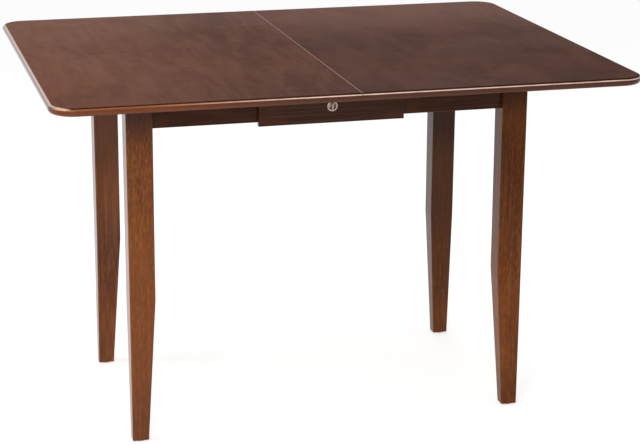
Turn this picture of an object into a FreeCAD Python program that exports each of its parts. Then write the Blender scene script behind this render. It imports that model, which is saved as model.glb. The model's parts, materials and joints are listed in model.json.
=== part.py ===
import FreeCAD, Part
import math
import os

# Dining table with a self-storing butterfly leaf.
#
# The legs, aprons and rails make a fixed frame. The top is in two halves that slide apart
# along X on wooden runners. A rack on each runner meshes with a pinion on the centre line, so
# both halves move by the same amount. The leaf, folded on itself with its polished faces
# together, lies on two cross rails under the seam. It is as long as the table is wide, so the
# aprons are notched for it and a cover board hides each notch. A thumb-turn in the front cover
# clamps the front runner.
#
# Millimetres. X runs along the table, Y from the front to the rear, Z up. The origin is on the
# floor under the middle of the table.

Vector = FreeCAD.Vector
along_x = Vector(1, 0, 0)
along_y = Vector(0, 1, 0)
along_z = Vector(0, 0, 1)

# The top
table_length = 1180.0           # closed
table_width = 910.0
table_height = 760.0
top_thickness = 16.0
top_corner_radius = 50.0
top_edge_radius = 7.0
seam_gap = 0.6
seam_arris = 0.8
leaf_width = 300.0              # what the unfolded leaf adds to the length
slide_travel = leaf_width / 2

# Clearances
running_gap = 0.3               # between pieces that slide past each other
glue_gap = 0.1                  # beside a tenon or in a housing
screw_gap = 0.05                # around a screw or bolt
bearing_gap = 0.05              # around a shaft that turns

# Making
cut_margin = 1.0                # that a cut runs past the faces it opens
same_place = 0.001              # that two places may differ and still be one

# Legs
leg_inset = 170.0               # from the end of the top to the leg
leg_size_x = 54.0
leg_size_y = 48.0
leg_knee_x = 53.0
leg_knee_y = 46.0
leg_foot_x = 34.0
leg_foot_y = 27.0
leg_knee_height = 304.0
leg_edge_radius = 3.0
glide_thickness = 3.0
glide_diameter = 22.0
glide_pin_diameter = 5.0
glide_pin_length = 14.0
glide_chamfer = 1.0

# Frame boards
cover_thickness = 12.0
cover_overlap = 2.0             # of the cover board past the leaf on each side
cover_drop = 6.5                # of the cover board below the apron
cover_edge_radius = 2.0
apron_thickness = 18.0
apron_edge_radius = 1.5
apron_drop = 2.0                # of the apron below the cross rails
end_rail_thickness = 18.0
end_rail_recess = 20.0          # behind the outer faces of the legs
cross_rail_thickness = 18.0
cross_rail_bridge = 15.7        # wood over the runner slots
cross_rail_housing = 6.0        # depth of the housings in the aprons
tenon_thickness = 10.0
tenon_length = 18.0
tenon_height = 40.0
tenon_rise = 8.0                # of the tenons above the apron's lower edge

# Corner joints
block_gap = 6.0                 # from the leg's corner to the block
block_thickness = 20.0
block_margin = 4.0              # above and below the block
bolt_diameter = 8.0
bolt_grip = 32.0                # length of bolt in the leg
bolt_end = 4.0                  # beyond the nut
washer_diameter = 20.0
washer_thickness = 1.6
nut_width = 13.0
nut_height = 6.5

# The folded leaf
leaf_headroom = 2.2             # between the folded leaf and the top
leaf_end_room = 3.5             # between the folded leaf and the cover boards
leaf_side_room = 1.5            # beside the leaf in the apron notches
bumper_thickness = 0.8
bumper_diameter = 14.0
bumper_inset = 40.0
rest_pad_thickness = 1.0
rest_pad_width = 10.0
rest_pad_length = 60.0
rest_pad_y = 150.0
seam_pin_diameter = 8.0
seam_pin_reach = 8.0            # beyond the edge that holds the pin
seam_pin_seat = 16.0            # length of pin in its own panel
seam_pin_near = 120.0           # from the middle of the table
seam_pin_far = 330.0
seam_pin_chamfer = 1.0
seam_pin_room = 4.0             # left in the hole beyond the pin
hinge_plate_width = 10.0
hinge_plate_length = 58.0
hinge_plate_thickness = 2.0
hinge_inset = 14.0              # from the fold to the hinge pins
hinge_pin_diameter = 4.0

# Runners
runner_width = 18.0
runner_height = 18.0            # of the tongue that passes under the leaf
runner_overrun = 20.0           # of the runner past the leg's outer face
runner_nose = 30.0              # sloped end of the runner
runner_side_room = 5.0          # between the runner and the corner block
shoulder_radius = 5.0           # of the hollow where the deep part meets the tongue
shoulder_gap = 1.0              # between that hollow and the cross rail
cross_rail_margin = 4.0         # of the cross rail past the folded leaf
runner_tail = 3.0               # of the tongue past its rack
stop_length = 20.0
stop_height = 12.0
batten_width = 40.0
batten_thickness = 18.0
batten_inset = 70.0             # from the end of the top to the batten
batten_half_length = 340.0

# Equalizer gears
gear_module = 2.5
gear_teeth = 20
dedendum_share = 1.25           # of the module
pressure_angle = math.radians(20)
tooth_play = 0.15               # taken off every tooth
pinion_width = 10.0
pinion_bore = 10.0
pinion_hub_diameter = 20.0
rack_height = 12.0
rack_base = 5.0                 # of the rack behind its teeth
rack_lead_teeth = 2             # teeth that reach past the pinion on the closed table
gear_board_thickness = 11.0
gear_board_width = 60.0
gear_board_gap = 2.0            # under the tongues
flange_thickness = 2.5
flange_diameter = 38.0
clip_thickness = 1.0
clip_diameter = 15.0
clip_mouth_half_width = 3.5
groove_depth = 1.0
spindle_end = 2.0               # of the spindle above the clip

# Thumb-turn clamp
bezel_diameter = 22.0
bezel_rim = 2.0                 # in front of the cover board
bezel_wall = 1.6
bezel_depth = 8.0
bezel_chamfer = 0.6
knob_gap = 0.4
knob_disc_thickness = 2.0
knob_bar_width = 5.0
knob_bar_radius = 1.25          # of its long front edges
knob_bar_reach = 2.5            # in front of the bezel's rim
clamp_screw_diameter = 8.0
sleeve_diameter = 14.0
sleeve_flange_diameter = 22.0
sleeve_flange_thickness = 2.0
pad_diameter = 14.0
pad_thickness = 5.0
clamp_rise = 4.5                # of the clamp's axis above the middle of the tongue

# Screws
screw_size = 4.0
small_screw_size = 3.0
board_screw_length = 40.0
short_screw_length = 26.0       # in the covers, battens and stops
runner_screw_length = 46.0
runner_screw_bite = 9.0         # into the top
rack_screw_bite = 4.0
rack_screw_tooth = 1            # counted from 0, from each end of the rack
runner_screw_share = 0.12       # of the deep part's length, from each of its ends
batten_screw_share = 0.7        # of the batten's half length
cover_screw_share = 0.75        # of the cover's half width
flange_screw_length = 9.0
flange_screw_circle = 27.0

# Levels, from the top down to the lower edge of the cover boards
top_under = table_height - top_thickness
frame_top = top_under - running_gap
leaf_top = top_under - leaf_headroom
upper_panel_z = leaf_top - top_thickness
lower_panel_z = upper_panel_z - bumper_thickness - top_thickness
cross_rail_top = lower_panel_z - rest_pad_thickness
tongue_top = cross_rail_top - cross_rail_bridge - running_gap
tongue_bottom = tongue_top - runner_height
gear_level = (tongue_top + tongue_bottom) / 2
clamp_level = gear_level + clamp_rise
gear_board_top = tongue_bottom - gear_board_gap
cross_rail_bottom = gear_board_top - gear_board_thickness
apron_bottom = cross_rail_bottom - apron_drop
cover_bottom = apron_bottom - cover_drop
tenon_bottom = apron_bottom + tenon_rise
tenon_top = tenon_bottom + tenon_height
bolt_level = (tenon_top + frame_top) / 2

# Places across the table
panel_length = table_width / 2                      # of each half of the leaf
leaf_end_y = panel_length / 2
apron_outer_y = leaf_end_y + leaf_end_room
apron_inner_y = apron_outer_y - apron_thickness
leg_outer_y = apron_outer_y + cover_thickness
leg_inner_y = leg_outer_y - leg_size_y

# Places along the table
top_end_x = table_length / 2
leg_outer_x = top_end_x - leg_inset
leg_inner_x = leg_outer_x - leg_size_x
end_rail_outer_x = leg_outer_x - end_rail_recess
end_rail_inner_x = end_rail_outer_x - end_rail_thickness
leaf_side_x = leaf_width / 2
notch_half_width = leaf_side_x + leaf_side_room
cover_half_width = leaf_side_x + cover_overlap
cross_rail_outer_x = leaf_side_x + cross_rail_margin
cross_rail_inner_x = cross_rail_outer_x - cross_rail_thickness
shoulder_x = cross_rail_outer_x + shoulder_gap + shoulder_radius
runner_end_x = leg_outer_x + runner_overrun
batten_outer_x = top_end_x - batten_inset
batten_inner_x = batten_outer_x - batten_width

# Gear sizes
tooth_pitch = math.pi * gear_module
pitch_radius = gear_module * gear_teeth / 2
addendum = gear_module
dedendum = dedendum_share * gear_module
mesh_offset = pitch_radius + dedendum + rack_base   # from the pinion's axis to the runner
rack_start_x = -rack_lead_teeth * tooth_pitch
rack_teeth = 2 * rack_lead_teeth + math.ceil(slide_travel / tooth_pitch) - 1
rack_end_x = rack_start_x + rack_teeth * tooth_pitch
tongue_end_x = rack_end_x + runner_tail


def block_corner_y(distance):
    """Where the corner block, this far from the leg's corner, meets the end rail."""
    return leg_inner_y - (end_rail_inner_x - leg_inner_x) - distance * math.sqrt(2)


def block_corner_x(distance):
    """Where the corner block, this far from the leg's corner, meets the apron."""
    return leg_inner_x - (apron_inner_y - leg_inner_y) - distance * math.sqrt(2)


runner_limit_y = block_corner_y(block_gap + block_thickness) - runner_side_room
gear_y = math.floor(runner_limit_y - runner_width - mesh_offset)


# ---------------------------------------------------------------- shared shapes

def box(x0, x1, y0, y1, z0, z1):
    return Part.makeBox(x1 - x0, y1 - y0, z1 - z0, Vector(x0, y0, z0))


def prism(points, path):
    """Solid swept along path from a flat polygon."""
    return Part.Face(Part.makePolygon(points + points[:1])).extrude(path)


def rounded_section(x0, x1, y0, y1, z, radius):
    """Level rectangle with rounded corners, as a closed wire."""
    centres = [(x1 - radius, y1 - radius), (x0 + radius, y1 - radius),
               (x0 + radius, y0 + radius), (x1 - radius, y0 + radius)]
    arcs = []
    for quarter, (x, y) in enumerate(centres):
        start = 90 * quarter
        arcs.append(Part.makeCircle(radius, Vector(x, y, z), along_z, start, start + 90))
    edges = []
    for arc, following in zip(arcs, arcs[1:] + arcs[:1]):
        line = Part.makeLine(arc.Vertexes[-1].Point, following.Vertexes[0].Point)
        edges.extend([arc, line])
    return Part.Wire(edges)


def edges_at(shape, **place):
    """Straight edges that lie wholly at the given x, y or z."""
    def lies_there(edge):
        return all(abs(getattr(vertex.Point, axis) - value) < same_place
                   for vertex in edge.Vertexes for axis, value in place.items())
    return [edge for edge in shape.Edges if lies_there(edge)]


def mirrored(shape, normal):
    return shape.mirror(Vector(0, 0, 0), normal)


def half_turned(shape):
    """Copy turned half a turn about the table's upright axis."""
    turned = shape.copy()
    turned.rotate(Vector(0, 0, 0), along_z, 180)
    return turned


def four_corners(shape):
    """The shape made for the rear right corner, in all four corners."""
    right = [shape, mirrored(shape, along_y)]
    return right + [mirrored(each, along_x) for each in right]


def screw(point, direction, length, size, gap=0.0):
    """Countersunk screw from its flush head; with a gap, the hole that takes it."""
    shank = Part.makeCylinder(size / 2 + gap, length + gap, point, direction)
    head = Part.makeCone(size + gap, size / 2 + gap, size / 2, point, direction)
    return shank.fuse(head).removeSplitter()


def screws(places, direction, length, size):
    return [screw(place, direction, length, size) for place in places]


def drilled(shape, places, direction, length, size):
    holes = [screw(place, direction, length, size, screw_gap) for place in places]
    return shape.cut(holes)


# ---------------------------------------------------------------- legs and feet

def leg():
    """Rear right leg: plumb outside, straight inside to the knee, then tapered to the foot."""
    sections = [(glide_thickness, leg_foot_x, leg_foot_y),
                (leg_knee_height, leg_knee_x, leg_knee_y),
                (frame_top, leg_size_x, leg_size_y)]
    wires = [rounded_section(leg_outer_x - size_x, leg_outer_x, leg_outer_y - size_y,
                             leg_outer_y, z, leg_edge_radius)
             for z, size_x, size_y in sections]
    post = Part.makeLoft(wires, True, True)
    return post.cut([apron_tenon(glue_gap), end_rail_tenon(glue_gap),
                     hanger_bolt(screw_gap), glide_pin(screw_gap)])


def glide_centre():
    return Vector(leg_outer_x - leg_foot_x / 2, leg_outer_y - leg_foot_y / 2, 0)


def glide_pin(gap=0.0):
    base = glide_centre() + along_z * glide_thickness
    return Part.makeCylinder(glide_pin_diameter / 2 + gap, glide_pin_length + gap, base)


def glide():
    """Nylon nail-on glide under a foot."""
    disc = Part.makeCylinder(glide_diameter / 2, glide_thickness, glide_centre())
    disc = disc.makeChamfer(glide_chamfer, edges_at(disc, z=0))
    return disc.fuse(glide_pin()).removeSplitter()


# ---------------------------------------------------------------- frame boards

def apron_tenon(gap=0.0):
    """Right tenon of the rear apron; with a gap, its mortise."""
    middle = (apron_inner_y + apron_outer_y) / 2
    half = tenon_thickness / 2 + gap
    return box(leg_inner_x - apron_edge_radius, leg_inner_x + tenon_length + gap,
               middle - half, middle + half, tenon_bottom - gap, tenon_top + gap)


def end_rail_tenon(gap=0.0):
    """Rear tenon of the right end rail; with a gap, its mortise."""
    middle = (end_rail_inner_x + end_rail_outer_x) / 2
    half = tenon_thickness / 2 + gap
    return box(middle - half, middle + half, leg_inner_y - apron_edge_radius,
               leg_inner_y + tenon_length + gap, tenon_bottom - gap, tenon_top + gap)


def cover_screw_places(direction):
    """Heads on the inner face of the rear apron, or of the front one for direction -1."""
    level = (apron_bottom + cross_rail_top) / 2
    return [Vector(x, direction * apron_inner_y, level)
            for x in (-cover_half_width * cover_screw_share, cover_half_width * cover_screw_share)]


def rear_apron():
    """Board between the rear legs, notched for the leaf and housed for the cross rails."""
    board = box(-leg_inner_x, leg_inner_x, apron_inner_y, apron_outer_y, apron_bottom, frame_top)
    lower_edges = (edges_at(board, y=apron_inner_y, z=apron_bottom)
                   + edges_at(board, y=apron_outer_y, z=apron_bottom))
    board = board.makeFillet(apron_edge_radius, lower_edges)
    board = board.fuse([apron_tenon(), mirrored(apron_tenon(), along_x)])
    notch = box(-notch_half_width, notch_half_width, apron_inner_y - cut_margin,
                apron_outer_y + cut_margin, cross_rail_top, frame_top + cut_margin)
    housings = [cross_rail_blank(glue_gap), mirrored(cross_rail_blank(glue_gap), along_x)]
    board = board.cut([notch] + housings)
    board = drilled(board, cover_screw_places(1), along_y, short_screw_length, screw_size)
    return board.removeSplitter()


def front_apron():
    """Like the rear apron, with a bore for the sleeve of the clamp screw."""
    board = mirrored(rear_apron(), along_y)
    return board.cut(clamp_sleeve_blank())


def rear_cover():
    """Board flush with the legs that closes the notch in the apron."""
    board = box(-cover_half_width, cover_half_width, apron_outer_y, leg_outer_y,
                cover_bottom, frame_top)
    outer = leg_outer_y
    rounded = (edges_at(board, y=outer, z=cover_bottom)
               + edges_at(board, y=outer, x=cover_half_width)
               + edges_at(board, y=outer, x=-cover_half_width))
    board = board.makeFillet(cover_edge_radius, rounded)
    return drilled(board, cover_screw_places(1), along_y, short_screw_length, screw_size)


def front_cover():
    """Like the rear cover, bored for the bezel of the thumb-turn."""
    board = mirrored(rear_cover(), along_y)
    seat = Part.makeCylinder(bezel_diameter / 2 - bezel_wall, bezel_depth,
                             clamp_point(-leg_outer_y), along_y)
    shaft_hole = Part.makeCylinder(sleeve_diameter / 2, cover_thickness,
                                   clamp_point(-leg_outer_y), along_y)
    return board.cut([seat, shaft_hole])


def runner_passage(start_y, x0, x1, ceiling):
    """Space that a runner starting at start_y needs in a rail between x0 and x1."""
    return box(x0 - cut_margin, x1 + cut_margin, start_y - running_gap,
               start_y + runner_width + running_gap, tongue_bottom - running_gap, ceiling)


def rack_passage(start_y, x0, x1):
    """Space beside the tongue for its rack."""
    tip_y = start_y + runner_width + rack_base + dedendum + addendum
    return box(x0 - cut_margin, x1 + cut_margin, start_y + runner_width, tip_y + running_gap,
               gear_level - rack_height / 2 - running_gap,
               gear_level + rack_height / 2 + running_gap)


def left_end_rail():
    """Board between the left legs, with open notches for the left half's runners."""
    board = box(-end_rail_outer_x, -end_rail_inner_x, -leg_inner_y, leg_inner_y,
                apron_bottom, frame_top)
    lower_edges = (edges_at(board, x=-end_rail_outer_x, z=apron_bottom)
                   + edges_at(board, x=-end_rail_inner_x, z=apron_bottom))
    board = board.makeFillet(apron_edge_radius, lower_edges)
    rear_tenon = mirrored(end_rail_tenon(), along_x)
    board = board.fuse([rear_tenon, mirrored(rear_tenon, along_y)])
    notches = [runner_passage(start, -end_rail_outer_x, -end_rail_inner_x,
                              frame_top + cut_margin)
               for start in left_runner_starts()]
    return board.cut(notches).removeSplitter()


def cross_rail_blank(gap=0.0):
    """Right cross rail before its slots; with a gap, its housings in the aprons."""
    end_y = apron_inner_y + cross_rail_housing - glue_gap + gap
    return box(cross_rail_inner_x - gap, cross_rail_outer_x + gap, -end_y, end_y,
               cross_rail_bottom, cross_rail_top)


def right_cross_rail():
    """Rail under the leaf's right edge. All four tongues and their racks pass through it."""
    slots = []
    for start in left_runner_starts():
        slots.append(runner_passage(start, cross_rail_inner_x, cross_rail_outer_x,
                                    tongue_top + running_gap))
        slots.append(rack_passage(start, cross_rail_inner_x, cross_rail_outer_x))
    opposite = [mirrored(slot, along_y) for slot in slots]
    rail = cross_rail_blank().cut(slots + opposite)
    return drilled(rail, board_screw_places(1), -along_x, board_screw_length, screw_size)


# ---------------------------------------------------------------- corner joints

def corner_block():
    """Glued block across the rear right corner of the frame."""
    near = block_gap
    far = block_gap + block_thickness
    z0 = apron_bottom + block_margin
    plan = [Vector(block_corner_x(near), apron_inner_y, z0),
            Vector(end_rail_inner_x, block_corner_y(near), z0),
            Vector(end_rail_inner_x, block_corner_y(far), z0),
            Vector(block_corner_x(far), apron_inner_y, z0)]
    block = prism(plan, Vector(0, 0, frame_top - block_margin - z0))
    return block.cut(hanger_bolt(screw_gap))


inward = Vector(-1, -1, 0).normalize()


def on_diagonal(distance):
    """Point this far inside the rear right leg's inner corner, at the bolt's level."""
    return Vector(leg_inner_x, leg_inner_y, bolt_level) + inward * distance


def hanger_bolt(gap=0.0):
    """Bolt screwed into the leg's inner corner and through the corner block."""
    reach = block_gap + block_thickness + washer_thickness + nut_height + bolt_end
    return Part.makeCylinder(bolt_diameter / 2 + gap, bolt_grip + reach + gap,
                             on_diagonal(-bolt_grip), inward)


def bolt_washer():
    seat = on_diagonal(block_gap + block_thickness)
    ring = Part.makeCylinder(washer_diameter / 2, washer_thickness, seat, inward)
    return ring.cut(hanger_bolt(screw_gap))


def bolt_nut():
    seat = on_diagonal(block_gap + block_thickness + washer_thickness)
    corner_radius = nut_width / math.sqrt(3)
    sideways = Vector(1, -1, 0).normalize()
    corners = []
    for index in range(6):
        angle = math.radians(60 * index)
        offset = sideways * math.cos(angle) + along_z * math.sin(angle)
        corners.append(seat + offset * corner_radius)
    return prism(corners, inward * nut_height).cut(hanger_bolt(screw_gap))


# ---------------------------------------------------------------- the folded leaf

def folded_pin_places():
    """Y of the seam pins on the folded leaf, whose fold is at the rear."""
    return [leaf_end_y - seam_pin_near, leaf_end_y - seam_pin_far]


def seam_pin(x, y, z):
    """Pin held in the edge at x and standing out of it towards +X."""
    length = seam_pin_seat + seam_pin_reach
    pin = Part.makeCylinder(seam_pin_diameter / 2, length, Vector(x - seam_pin_seat, y, z), along_x)
    return pin.makeChamfer(seam_pin_chamfer, edges_at(pin, x=x + seam_pin_reach))


def seam_pin_seat_hole(x, y, z):
    return Part.makeCylinder(seam_pin_diameter / 2 + screw_gap, seam_pin_seat + screw_gap,
                             Vector(x, y, z), -along_x)


def seam_pin_hole(x, y, z):
    """Hole that a seam pin slides into, from the edge at x towards +X."""
    return Part.makeCylinder(seam_pin_diameter / 2 + running_gap, seam_pin_reach + seam_pin_room,
                             Vector(x, y, z), along_x)


def leaf_panel(bottom):
    """Half of the leaf, with the table's edge moulding at the front and its fold at the rear."""
    panel = box(-leaf_side_x, leaf_side_x, -leaf_end_y, leaf_end_y, bottom, bottom + top_thickness)
    moulded = (edges_at(panel, y=-leaf_end_y, z=bottom)
               + edges_at(panel, y=-leaf_end_y, z=bottom + top_thickness))
    panel = panel.makeFillet(top_edge_radius, moulded)
    middle = bottom + top_thickness / 2
    holes = []
    for y in folded_pin_places():
        holes.append(seam_pin_hole(-leaf_side_x, y, middle))
        holes.append(seam_pin_seat_hole(leaf_side_x, y, middle))
    for fitting in (hinge_plate(middle), hinge_link()):
        holes.extend(on_both_sides(fitting))
    return panel.cut(holes)


def hinge_pin_y():
    return leaf_end_y - hinge_inset


def hinge_plate(level):
    """Brass plate let into the right edge of a leaf panel, behind the link."""
    x0 = leaf_side_x - 2 * hinge_plate_thickness
    half = hinge_plate_width / 2
    y1 = hinge_pin_y()
    y0 = y1 - hinge_plate_length + hinge_plate_width
    bar = box(x0, x0 + hinge_plate_thickness, y0, y1, level - half, level + half)
    ends = [Part.makeCylinder(half, hinge_plate_thickness, Vector(x0, y, level), along_x)
            for y in (y0, y1)]
    return bar.fuse(ends).removeSplitter()


def hinge_link():
    """Link across the fold, over the plates of both panels."""
    x0 = leaf_side_x - hinge_plate_thickness
    half = hinge_plate_width / 2
    levels = [lower_panel_z + top_thickness / 2, upper_panel_z + top_thickness / 2]
    bar = box(x0, leaf_side_x, hinge_pin_y() - half, hinge_pin_y() + half, *levels)
    ends = [Part.makeCylinder(half, hinge_plate_thickness, Vector(x0, hinge_pin_y(), z), along_x)
            for z in levels]
    return bar.fuse(ends).removeSplitter()


def hinge_pin(level):
    """Rivet through the link and the plate at this level."""
    return Part.makeCylinder(hinge_pin_diameter / 2, 2 * hinge_plate_thickness,
                             Vector(leaf_side_x - 2 * hinge_plate_thickness, hinge_pin_y(), level),
                             along_x)


def on_both_sides(shape):
    """The shape made for the right side of the leaf, on both sides."""
    return [shape, mirrored(shape, along_x)]


def hinge_nodes():
    levels = [bottom + top_thickness / 2 for bottom in (lower_panel_z, upper_panel_z)]
    pins = [hinge_pin(level) for level in levels]
    plates = [hinge_plate(level).cut(pins) for level in levels]
    link = hinge_link().cut(pins)
    return {
        "leaf_hinge_plates": [side for plate in plates for side in on_both_sides(plate)],
        "leaf_hinge_links": on_both_sides(link),
        "leaf_hinge_pins": [side for pin in pins for side in on_both_sides(pin)],
    }


def leaf_bumpers():
    """Felt dots that keep the polished faces apart."""
    x = leaf_side_x - bumper_inset
    y = leaf_end_y - bumper_inset
    level = lower_panel_z + top_thickness
    dot = Part.makeCylinder(bumper_diameter / 2, bumper_thickness, Vector(x, y, level))
    return four_corners(dot)


def leaf_rest_pads():
    """Felt strips on the cross rails, under the leaf's edges."""
    middle_x = (cross_rail_inner_x + leaf_side_x) / 2
    pad = box(middle_x - rest_pad_width / 2, middle_x + rest_pad_width / 2,
              rest_pad_y, rest_pad_y + rest_pad_length, cross_rail_top, lower_panel_z)
    return four_corners(pad)


def leaf_pins():
    pins = []
    for bottom in (lower_panel_z, upper_panel_z):
        for y in folded_pin_places():
            pins.append(seam_pin(leaf_side_x, y, bottom + top_thickness / 2))
    return pins


# ---------------------------------------------------------------- top halves

def seam_pin_places():
    return [-seam_pin_far, -seam_pin_near, seam_pin_near, seam_pin_far]


def left_half_blank():
    """Left half of the top, with rounded corners and moulded edges, before drilling."""
    seam_x = -seam_gap / 2
    half_width = table_width / 2
    board = box(-top_end_x, seam_x, -half_width, half_width, top_under, table_height)
    corners = (edges_at(board, x=-top_end_x, y=-half_width)
               + edges_at(board, x=-top_end_x, y=half_width))
    board = board.makeFillet(top_corner_radius, corners)
    rims = edges_at(board, z=top_under) + edges_at(board, z=table_height)
    seam_edges = edges_at(board, x=seam_x)
    moulded = [rim for rim in rims if not any(rim.isSame(edge) for edge in seam_edges)]
    board = board.makeFillet(top_edge_radius, moulded)
    arris = prism([Vector(seam_x, -half_width, table_height),
                   Vector(seam_x - seam_arris, -half_width, table_height),
                   Vector(seam_x, -half_width, table_height - seam_arris)],
                  Vector(0, table_width, 0))
    return board.cut(arris)


def left_top_panel():
    panel = drilled(left_half_blank(), runner_screw_places(), along_z,
                    runner_screw_length, screw_size)
    panel = drilled(panel, batten_screw_places(), along_z, short_screw_length, screw_size)
    middle = top_under + top_thickness / 2
    return panel.cut([seam_pin_seat_hole(-seam_gap / 2, y, middle) for y in seam_pin_places()])


def right_top_panel():
    panel = drilled(left_half_blank(), runner_screw_places(), along_z,
                    runner_screw_length, screw_size)
    panel = drilled(panel, batten_screw_places(), along_z, short_screw_length, screw_size)
    middle = top_under + top_thickness / 2
    holes = [seam_pin_hole(seam_gap / 2, y, middle) for y in seam_pin_places()]
    return half_turned(panel).cut(holes)


def seam_pins():
    middle = top_under + top_thickness / 2
    return [seam_pin(-seam_gap / 2, y, middle) for y in seam_pin_places()]


def batten_screw_places():
    x = -(batten_outer_x + batten_inner_x) / 2
    level = top_under - batten_thickness
    screw_y = batten_half_length * batten_screw_share
    return [Vector(x, y, level) for y in (-screw_y, 0, screw_y)]


def left_batten():
    """Batten across the underside of the left half, sloped at its ends."""
    slope = batten_thickness
    z0 = top_under - batten_thickness
    x = -batten_outer_x
    outline = [Vector(x, -batten_half_length, top_under),
               Vector(x, -batten_half_length + slope, z0),
               Vector(x, batten_half_length - slope, z0),
               Vector(x, batten_half_length, top_under)]
    batten = prism(outline, Vector(batten_width, 0, 0))
    return drilled(batten, batten_screw_places(), along_z, short_screw_length, screw_size)


# ---------------------------------------------------------------- runners

def left_runner_starts():
    """Front faces of the left half's two runners. Each has its pinion behind it."""
    return [centre - mesh_offset - runner_width for centre in (-gear_y, gear_y)]


def runner_screw_xs():
    span = runner_end_x - runner_nose - shoulder_x
    return [-shoulder_x - span * share for share in (runner_screw_share, 1 - runner_screw_share)]


def runner_screw_places():
    """Heads of the screws from both left runners into the top."""
    level = top_under + runner_screw_bite - runner_screw_length
    return [Vector(x, start + runner_width / 2, level)
            for start in left_runner_starts() for x in runner_screw_xs()]


def rack_screw_places(start_y):
    """Heads on the runner's front face, one behind a tooth near each end of the rack."""
    from_start = tooth_pitch * (rack_screw_tooth + 0.5)
    return [Vector(x, start_y, gear_level)
            for x in (rack_start_x + from_start, rack_end_x - from_start)]


def rack_screw_length():
    return runner_width + rack_screw_bite


def left_runner(start_y):
    """Runner of the left half: deep where it carries the top, a tongue where it passes
    under the leaf, and with a hollow where the two meet."""
    outline = [Vector(-runner_end_x, start_y, top_under),
               Vector(-runner_end_x, start_y, top_under - runner_height),
               Vector(-runner_end_x + runner_nose, start_y, tongue_bottom),
               Vector(tongue_end_x, start_y, tongue_bottom),
               Vector(tongue_end_x, start_y, tongue_top),
               Vector(-shoulder_x, start_y, tongue_top),
               Vector(-shoulder_x, start_y, top_under)]
    runner = prism(outline, Vector(0, runner_width, 0))
    runner = runner.makeFillet(shoulder_radius, edges_at(runner, x=-shoulder_x, z=tongue_top))
    runner = drilled(runner, rack_screw_places(start_y), along_y, rack_screw_length(),
                     small_screw_size)
    runner = drilled(runner, [stop_screw_place(start_y)], -along_z, short_screw_length, screw_size)
    own_screws = [place for place in runner_screw_places()
                  if start_y < place.y < start_y + runner_width]
    runner = drilled(runner, own_screws, along_z, runner_screw_length, screw_size)
    pockets = [Part.makeCylinder(screw_size + screw_gap, place.z - tongue_bottom,
                                 Vector(place.x, place.y, tongue_bottom))
               for place in own_screws]
    return runner.cut(pockets)


def stop_screw_place(start_y):
    return Vector(slide_travel - cross_rail_inner_x + running_gap + stop_length / 2,
                  start_y + runner_width / 2, tongue_top + stop_height)


def travel_stop(start_y):
    """Block on the tongue that meets the cross rail when the table is open."""
    x0 = slide_travel - cross_rail_inner_x + running_gap
    block = box(x0, x0 + stop_length, start_y, start_y + runner_width,
                tongue_top, tongue_top + stop_height)
    return drilled(block, [stop_screw_place(start_y)], -along_z, short_screw_length, screw_size)


# ---------------------------------------------------------------- equalizer gears

def rack(start_y):
    """Straight-toothed rack on the rear face of a left runner, teeth towards the pinion."""
    back_y = start_y + runner_width
    root_y = back_y + rack_base
    tip_y = root_y + dedendum + addendum
    slope = math.tan(pressure_angle)
    half_at_pitch = tooth_pitch / 4 - tooth_play / 2
    half_root = half_at_pitch + dedendum * slope
    half_tip = half_at_pitch - addendum * slope
    z0 = gear_level - rack_height / 2
    outline = [Vector(rack_start_x, back_y, z0), Vector(rack_start_x, root_y, z0)]
    for tooth in range(rack_teeth):
        middle = rack_start_x + tooth_pitch * (tooth + 0.5)
        outline.append(Vector(middle - half_root, root_y, z0))
        outline.append(Vector(middle - half_tip, tip_y, z0))
        outline.append(Vector(middle + half_tip, tip_y, z0))
        outline.append(Vector(middle + half_root, root_y, z0))
    outline.append(Vector(rack_end_x, root_y, z0))
    outline.append(Vector(rack_end_x, back_y, z0))
    bar = prism(outline, Vector(0, 0, rack_height))
    return drilled(bar, rack_screw_places(start_y), along_y, rack_screw_length(),
                   small_screw_size)


def involute(angle):
    return math.tan(angle) - angle


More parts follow.
